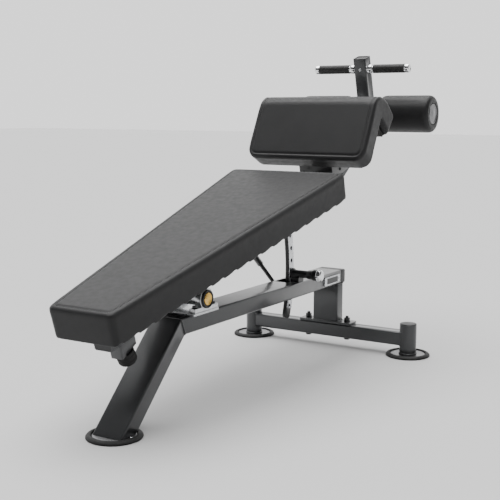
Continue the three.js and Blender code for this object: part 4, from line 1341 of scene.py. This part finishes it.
@dataclass
class BackPad:
    """Long tapered pad on its board."""

    maker: Maker
    layout: Layout
    front: float = -453.0
    rear: float = 656.0
    front_half: float = 106.0
    rear_half: float = 218.0
    bottom: float = 85.3
    top: float = 167.8
    corner: float = 15.0
    seam: float = 15.0
    shrink: float = 0.5
    skirt: float = 11.0
    hem: float = 14.0
    shoulder: float = 11.0
    hem_height: float = 1.5
    hem_reach: float = 4.8

    def build(self) -> None:
        """Makes the cushion, its sewn edge and the board."""
        sewing = Upholstery(self.maker)
        cushion = sewing.remesh(self.block(), 3)
        self.square_hem(cushion)
        floor = (self.bottom + 4) * MM
        sewing.inflate(cushion, lambda point: point.z < floor)
        sewing.refine(cushion)
        route = sewing.sew(cushion, self.seam_loop(), 4.4 * MM, 3.2 * MM)
        place = self.layout.carriage
        sewing.finish(cushion, "back_pad_cover", "back_pad_cushion", place)
        sewing.stitches("back_pad_stitches", cushion, [place @ point for point in route], 4.2 * MM)
        self.maker.from_cad("back_pad_board", Body.CARRIAGE, Slot.BOARD, 1.2 * MM)
        self.staples()

    def outline(self, inset: float, height: float, reach: float) -> list[tuple[Vector, float]]:
        """The pad's four corners at a height, each with its rounding, in metres."""
        front, rear = self.front_half - inset, self.rear_half - inset
        near, far = self.front + inset, self.rear - inset
        corners = ((front, near), (rear, far), (-rear, far), (-front, near))
        return [(Vector((x, y, height)) * MM, reach * MM) for x, y in corners]

    def block(self) -> bmesh.types.BMesh:
        """The plain tapered block, a little small because its cover swells."""
        bm = bmesh.new()
        corners = self.outline(self.shrink, self.bottom - self.skirt, 0)
        face = bm.faces.new([bm.verts.new(corner) for corner, _ in corners])
        raised = bmesh.ops.extrude_face_region(bm, geom=[face], use_keep_orig=True)
        verts = [item for item in raised["geom"] if isinstance(item, bmesh.types.BMVert)]
        tall = (self.top - self.bottom + self.skirt - self.shrink * 0.6) * MM
        bmesh.ops.translate(bm, vec=(0, 0, tall), verts=verts)
        upright = [edge for edge in bm.edges if abs(edge.verts[0].co.z - edge.verts[1].co.z) > tall / 2]
        bmesh.ops.bevel(
            bm, geom=upright, offset=self.corner * MM, affect="EDGES", segments=6, profile=0.5, material=-1
        )
        bmesh.ops.recalc_face_normals(bm, faces=bm.faces)
        under = [face for face in bm.faces if face.normal.z < -0.9]
        bmesh.ops.inset_region(bm, faces=under, thickness=self.hem * MM, use_even_offset=True)
        pocket = {vert for face in bm.faces if face in under for vert in face.verts}
        bmesh.ops.translate(bm, vec=(0, 0, self.skirt * MM), verts=list(pocket))
        low = (self.bottom - self.skirt) * MM
        round_rim(bm, lambda edge: self.at_level(edge, low + tall), self.shoulder * MM)
        return bm

    def square_hem(self, cushion: bpy.types.Object) -> None:
        """Pulls the underside's outermost points out to the hem's edge."""
        low = (self.bottom - self.skirt) * MM
        corners = self.outline(self.shrink, self.bottom - self.skirt, self.corner)
        route = even_steps(soft_loop(corners, 10), 1 * MM)
        near = KDTree(len(route))
        for k, point in enumerate(route):
            near.insert(point, k)
        near.balance()
        for vert in cushion.data.vertices:
            target, _, away = near.find(vert.co)
            if vert.co.z <= low + self.hem_height * MM and away < self.hem_reach * MM:
                vert.co = target

    @staticmethod
    def at_level(edge: bmesh.types.BMEdge, height: float) -> bool:
        """Whether an edge lies at a height, between a level face and a steep one."""
        level = all(abs(vert.co.z - height) < 1e-5 for vert in edge.verts)
        return level and min(abs(face.normal.z) for face in edge.link_faces) < 0.5

    def seam_loop(self) -> list[Vector]:
        """Route of the seam round the top panel."""
        return soft_loop(self.outline(self.seam, self.top, self.corner * 0.8), 10)

    def staples(self) -> None:
        """Hem of the cover turned under the board, held by a row of staples."""
        low = self.bottom - 12.6
        loop = soft_loop(self.outline(34.0, low, self.corner), 8)
        points = even_steps([self.layout.carriage @ point for point in loop], 38 * MM)
        bm = bmesh.new()
        for before, point in zip([points[-1], *points], points):
            turn = (point - before).to_track_quat("X", "Z").to_matrix().to_4x4()
            size = Matrix.Diagonal((10 * MM, 1.1 * MM, 0.8 * MM, 1))
            bmesh.ops.create_cube(bm, size=1.0, matrix=Matrix.Translation(point) @ turn @ size)
        self.maker.piece("back_pad_staples", bm, Body.CARRIAGE, Slot.STEEL, edge=0.2 * MM)


@dataclass
class KneePad:
    """Bent pad over its folded bracket."""

    maker: Maker
    layout: Layout
    half: float = 230.0
    apex: tuple[float, float] = (949.4, 269.7)
    thickness: float = 74.0
    front_angle: float = 47.8
    rear_angle: float = -55.0
    front_length: float = 192.0
    rear_length: float = 102.0
    front_crest: float = -44.0
    rear_crest: float = -26.0
    end_corner: float = 38.0
    seam: float = 15.0
    shrink: float = 0.5
    shoulder: float = 11.0

    def point(self, front: bool, distance: float, out: float, x: float = 0.0) -> Vector:
        """A point down a flap from the inner corner and out from it, in metres."""
        along = math.radians(self.front_angle + 180 if front else self.rear_angle)
        normal = along + (-math.pi / 2 if front else math.pi / 2)
        y = self.apex[0] + distance * math.cos(along) + out * math.cos(normal)
        z = self.apex[1] + distance * math.sin(along) + out * math.sin(normal)
        return Vector((x, y, z)) * MM

    def inner_gap(self, point: Vector) -> float:
        """How far a point in metres is from the pad's inner faces, in metres."""
        gaps = []
        for front in (True, False):
            corner = self.point(front, 0, 0)
            normal = (self.point(front, 0, 1) - corner).normalized()
            gaps.append((Vector((0, point.y, point.z)) - corner).dot(normal))
        return max(gaps)

    def build(self) -> None:
        """Makes the cushion, its sewn edge and the board."""
        sewing = Upholstery(self.maker, voxel=5.0 * MM, cap=3.0 * MM)
        cushion = sewing.remesh(self.block(), 4)
        sewing.inflate(cushion, lambda point: self.inner_gap(point) < 12 * MM)
        sewing.refine(cushion)
        route = sewing.sew(cushion, self.seam_loop(), 3.0 * MM, 4.2 * MM)
        place = self.layout.carriage
        sewing.finish(cushion, "knee_pad_cover", "knee_pad_cushion", place)
        sewing.stitches("knee_pad_stitches", cushion, [place @ point for point in route], 4.2 * MM)
        self.maker.from_cad("knee_pad_board", Body.CARRIAGE, Slot.BOARD, 1.0 * MM)

    def block(self) -> bmesh.types.BMesh:
        """The plain bent block with rounded flap corners."""
        out = self.thickness - self.shrink * 0.6
        half = self.half - self.shrink
        inner = Vector((0, self.apex[0], self.apex[1])) * MM
        profile = [
            self.point(True, self.front_length, 0),
            self.point(True, self.front_length, out),
            self.point(True, self.front_crest, out),
            self.point(False, self.rear_crest, out),
            self.point(False, self.rear_length, out),
            self.point(False, self.rear_length, 0),
            inner,
        ]
        bm = bmesh.new()
        side = Vector((half * MM, 0, 0))
        face = bm.faces.new([bm.verts.new(point - side) for point in profile])
        raised = bmesh.ops.extrude_face_region(bm, geom=[face], use_keep_orig=True)
        verts = [item for item in raised["geom"] if isinstance(item, bmesh.types.BMVert)]
        bmesh.ops.translate(bm, vec=side * 2, verts=verts)
        self.round_edges(bm, [(profile[0], profile[1]), (profile[4], profile[5])], self.end_corner)
        self.round_edges(bm, [(profile[2], profile[2]), (profile[3], profile[3])], 30.0)
        bmesh.ops.recalc_face_normals(bm, faces=bm.faces)
        round_rim(bm, self.at_end, self.shoulder * MM)
        return bm

    def at_end(self, edge: bmesh.types.BMEdge) -> bool:
        """Whether an edge lies between an end or a rounded corner and the outer faces."""
        outer = all(self.inner_gap(vert.co) > (self.thickness - 25) * MM for vert in edge.verts)
        return outer and edge.calc_face_angle(0.0) > math.radians(60)

    def round_edges(
        self, bm: bmesh.types.BMesh, pairs: Sequence[tuple[Vector, Vector]], radius: float
    ) -> None:
        """Rounds the edges whose ends lie over the given pairs of profile points."""

        def flat(point: Vector) -> Vector:
            return Vector((0, point.y, point.z))

        chosen = []
        for edge in bm.edges:
            ends = [flat(vert.co) for vert in edge.verts]
            for one, two in pairs:
                straight = (ends[0] - one).length + (ends[1] - two).length
                crossed = (ends[0] - two).length + (ends[1] - one).length
                if min(straight, crossed) < 1e-5:
                    chosen.append(edge)
        bmesh.ops.bevel(
            bm, geom=chosen, offset=radius * MM, affect="EDGES", segments=6, profile=0.5, material=-1
        )

    def seam_loop(self) -> list[Vector]:
        """Route of the seam round the outer panel, over the crest."""
        x = self.half - self.seam
        out = self.thickness
        ends = (self.front_length - self.seam, self.rear_length - self.seam)
        stops = [
            (True, ends[0], self.end_corner * 0.7),
            (True, self.front_crest, 20.0),
            (False, self.rear_crest, 20.0),
            (False, ends[1], self.end_corner * 0.7),
        ]
        right = [(self.point(front, far, out, x), reach * MM) for front, far, reach in stops]
        left = [(self.point(front, far, out, -x), reach * MM) for front, far, reach in reversed(stops)]
        return soft_loop(right + left, 8)


# ---------------------------------------------------------------- upright
@dataclass
class Upright:
    """Post with its T-handle, the roller shaft and the two ankle rollers."""

    maker: Maker
    layout: Layout

    def build(self) -> None:
        """Makes everything on the post."""
        self.maker.from_cad("handle_post", Body.CARRIAGE, Slot.PAINT, 0.8 * MM)
        self.maker.from_cad("handle_post_cap", Body.CARRIAGE, Slot.PLASTIC, 1.4 * MM, steps=3)
        self.bar()
        self.shaft()
        self.screws()
        for side, sign in SIDES.items():
            self.grip(side, sign)
            self.roller(side, sign)

    def bar(self) -> None:
        """Polished cross bar with a flange each side of the post and domed ends."""
        place = centre("handle_bar")
        half = (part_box("handle_bar")[1].x - place.x) / MM
        side = [(14, 27), (17.2, 28.4), (17.5, 29.6), (17.5, 44), (16.6, 45.2), (14, 46.2)]
        side += [(14, half - 17.4)]
        side += [(16.2, half - 17.3), (16.6, half - 16.6), (16.6, half - 4), (15.9, half - 1.8)]
        side += [(13.6, half - 0.5)]
        side += [(11.5, half - 0.1), (10.6, half - 1.0), (0, half - 1.2)]
        other = [(radius, -height) for radius, height in reversed(side)]
        self.maker.piece(
            "handle_cross_bar", spun(other + side, place, Axis.ACROSS, 64), Body.CARRIAGE, Slot.CHROME,
            ["handle_bar"], smooth=50,
        )

    def grip(self, side: str, sign: float) -> None:
        """Rubber grip with a lip at each end and fine rings."""
        low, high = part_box(f"handle_grip_{side}")
        place = (low + high) / 2
        place.x = low.x if sign > 0 else high.x
        run = (high.x - low.x) / MM
        profile = [(14.3, 0), (16.1, 0), (16.5, 0.8), (16.5, 4.6), (16.1, 5.4)]
        rings = int((run - 14) / 4)
        for k in range(rings):
            start = 6 + k * (run - 12) / rings
            profile += [(16.2, start), (16.45, start + 0.8), (16.45, start + 2.6), (16.2, start + 3.4)]
        profile += [(16.1, run - 5.4), (16.5, run - 4.6), (16.5, run - 0.8), (16.1, run), (14.3, run)]
        self.maker.piece(
            f"grip_sleeve_{side}", spun(profile, place, Axis.ACROSS, 56, flip=sign < 0), Body.CARRIAGE,
            Slot.RUBBER, [f"handle_grip_{side}"], material=self.maker.finishes.grip, smooth=50,
        )

    def shaft(self) -> None:
        """Shaft through the post with a spacer up to each roller."""
        place = centre("roller_shaft")
        half = (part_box("roller_shaft")[1].x - place.x) / MM
        side = [(12.5, 25.4), (18.2, 25.4), (19, 26.2), (19, 66.2), (18.2, 67), (12.5, 67)]
        side += [(12.5, half - 1)]
        side += [(11.5, half), (0, half)]
        other = [(radius, -height) for radius, height in reversed(side)]
        self.maker.piece(
            "roller_axle", spun(other + side, place, Axis.ACROSS, 56), Body.CARRIAGE, Slot.STEEL,
            ["roller_shaft"], smooth=50,
        )

    def screws(self) -> None:
        """Screws that hold the handle bar and the roller shaft in the post."""
        for name, up in (("handle_screw", 360.0), ("shaft_screw", 215.0)):
            screw = cap_screw(Vector((0, 0, 0)), 5.5)
            place = Matrix.Translation((0, 1286 * MM, up * MM)) @ Matrix.Rotation(math.pi / 2, 4, "X")
            bmesh.ops.transform(screw, matrix=self.layout.carriage @ place, verts=screw.verts)
            self.maker.piece(name, screw, Body.CARRIAGE, Slot.STEEL, smooth=50)

    def roller(self, side: str, sign: float) -> None:
        """Vinyl-covered foam roller with a sewn rim, and its end disc."""
        body = Body.LEFT_ROLLER if sign < 0 else Body.RIGHT_ROLLER
        low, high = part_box(f"ankle_roller_{side}")
        place = (low + high) / 2
        place.x = low.x if sign > 0 else high.x
        run = (high.x - low.x) / MM
        rim = [(40, -0.2), (58, 0.6), (63.5, 2.6), (67.2, 6.4), (69.2, 11.5), (69.9, 18), (70, 28)]
        far = [(radius, run - height) for radius, height in reversed(rim)]
        seam = [(60.6, run - 1.6), (60.0, run - 2.6), (59.2, run - 1.4)]
        profile = [(13, 0), *rim, *far[:-2], *seam, (56, run), (45, run), (41.5, run - 0.8), (39.4, run - 3)]
        profile += [(39, run - 5), (13, run - 5)]
        foam = self.maker.piece(
            f"roller_foam_{side}", spun(profile, place, Axis.ACROSS, 96, flip=sign < 0), body, Slot.VINYL,
            [f"ankle_roller_{side}"], smooth=70,
        )
        end = centre(f"roller_cap_{side}")
        end.x = place.x + sign * (run - 4.7) * MM
        disc = [(0, 0), (38, 0), (38, 3.4), (37.2, 4.6), (35.8, 5.2), (34, 4.8), (32.6, 3.6)]
        disc += [(31, 3.0), (18, 4.2)]
        disc += [(8, 5.4), (0, 5.8)]
        self.maker.piece(
            f"roller_disc_{side}", spun(soft_profile(disc, 0.8), end, Axis.ACROSS, 96, flip=sign < 0), body,
            Slot.STEEL, [f"roller_cap_{side}"], material=self.maker.finishes.smoked, smooth=60,
        )


# ---------------------------------------------------------------- studio
@dataclass
class Softbox:
    """A square area light aimed at a point."""

    name: str
    place: tuple[float, float, float]
    aim: tuple[float, float, float]
    size: float
    power: float

    def build(self) -> None:
        """Makes the light."""
        data = bpy.data.lights.new(self.name, "AREA")
        data.shape = "SQUARE"
        data.size = self.size
        data.energy = self.power
        obj = bpy.data.objects.new(self.name, data)
        bpy.context.scene.collection.objects.link(obj)
        obj.location = self.place
        obj.rotation_euler = (Vector(self.aim) - Vector(self.place)).to_track_quat("-Z", "Y").to_euler()


@dataclass
class Studio:
    """Camera, pale floor and soft light."""

    layout: Layout
    camera_place: tuple[float, float, float] = (1.6446, -2.3207, 0.8739)
    yaw: float = 31.67
    pitch: float = 8.18
    roll: float = 0.10
    lens: float = 70.80
    floor_size: float = 60.0
    front_wall: float = 0.08
    back_wall: float = 1.5
    ceiling: float = 6.0

    def build(self) -> None:
        """Sets the whole scene up."""
        self.camera()
        self.floor()
        self.world()
        middle = (0.0, 0.0, 0.5)
        for box in (
            Softbox("window_left", (-3.4, -1.6, 2.2), middle, 2.2, 6.0),
            Softbox("window_right", (3.6, 0.4, 1.9), middle, 2.0, 7.0),
        ):
            box.build()
        self.daylight()

    def camera(self) -> None:
        """Places the camera relative to the tilt axis, in front of the bench and to its right."""
        data = bpy.data.cameras.new("camera")
        data.sensor_width = 36.0
        data.lens = self.lens
        data.clip_end = 200.0
        obj = bpy.data.objects.new("camera", data)
        bpy.context.scene.collection.objects.link(obj)
        yaw, pitch = math.radians(self.yaw), math.radians(self.pitch)
        level = math.cos(pitch)
        forward = Vector((-math.sin(yaw) * level, math.cos(yaw) * level, -math.sin(pitch)))
        turn = forward.to_track_quat("-Z", "Y").to_matrix() @ Matrix.Rotation(math.radians(self.roll), 3, "Z")
        obj.rotation_euler = turn.to_euler()
        obj.location = Vector(self.camera_place) + Vector((0, self.layout.pivot.y, 0))
        bpy.context.scene.camera = obj

    def floor(self) -> None:
        """A wide pale floor."""
        bm = bmesh.new()
        bmesh.ops.create_grid(bm, x_segments=1, y_segments=1, size=self.floor_size / 2)
        mesh = bpy.data.meshes.new("floor")
        bm.to_mesh(mesh)
        bm.free()
        obj = bpy.data.objects.new("floor", mesh)
        bpy.context.scene.collection.objects.link(obj)
        nodes = Nodes("pale_floor")
        nodes.set(Roughness=0.7, Specular_IOR_Level=0.2)
        nodes.shader.inputs["Base Color"].default_value = (0.52, 0.52, 0.52, 1.0)
        mesh.materials.append(nodes.material)

    def daylight(self) -> None:
        """A broad, soft light from above and behind, even over the whole floor."""
        data = bpy.data.lights.new("ceiling", "SUN")
        data.energy = self.ceiling
        data.angle = math.radians(70)
        data.specular_factor = 0.3
        obj = bpy.data.objects.new("ceiling", data)
        bpy.context.scene.collection.objects.link(obj)
        obj.rotation_euler = (math.radians(2), math.radians(-5), 0)

    def world(self) -> None:
        """A studio whose back wall is bright and whose front is dim."""
        world = bpy.data.worlds.new("studio")
        world.use_nodes = True
        tree = world.node_tree
        background = tree.nodes["Background"]
        background.inputs["Color"].default_value = (1.0, 1.0, 1.0, 1.0)
        view = tree.nodes.new("ShaderNodeTexCoord")
        facing = tree.nodes.new("ShaderNodeVectorMath")
        facing.operation = "DOT_PRODUCT"
        yaw = math.radians(self.yaw)
        facing.inputs[1].default_value = (-math.sin(yaw), math.cos(yaw), 0.0)
        strength = tree.nodes.new("ShaderNodeMapRange")
        strength.interpolation_type = "SMOOTHSTEP"
        strength.inputs["From Min"].default_value = -0.15
        strength.inputs["From Max"].default_value = 0.8
        strength.inputs["To Min"].default_value = self.front_wall
        strength.inputs["To Max"].default_value = self.back_wall
        tree.links.new(view.outputs["Generated"], facing.inputs[0])
        tree.links.new(facing.outputs["Value"], strength.inputs["Value"])
        tree.links.new(strength.outputs["Result"], background.inputs["Strength"])
        bpy.context.scene.world = world


def main() -> None:
    """Builds and dresses the whole bench."""
    logging.basicConfig(level=logging.INFO, format="%(name)s: %(message)s")
    layout = Layout()
    maker = Maker(Finishes())
    Studio(layout).build()
    FloorFrame(maker, layout).build()
    TiltBearing(maker).build()
    TiltLock(maker).build()
    Carriage(maker, layout).build()
    Upright(maker, layout).build()
    KneePad(maker, layout).build()
    BackPad(maker, layout).build()


if __name__ == "__main__":
    main()
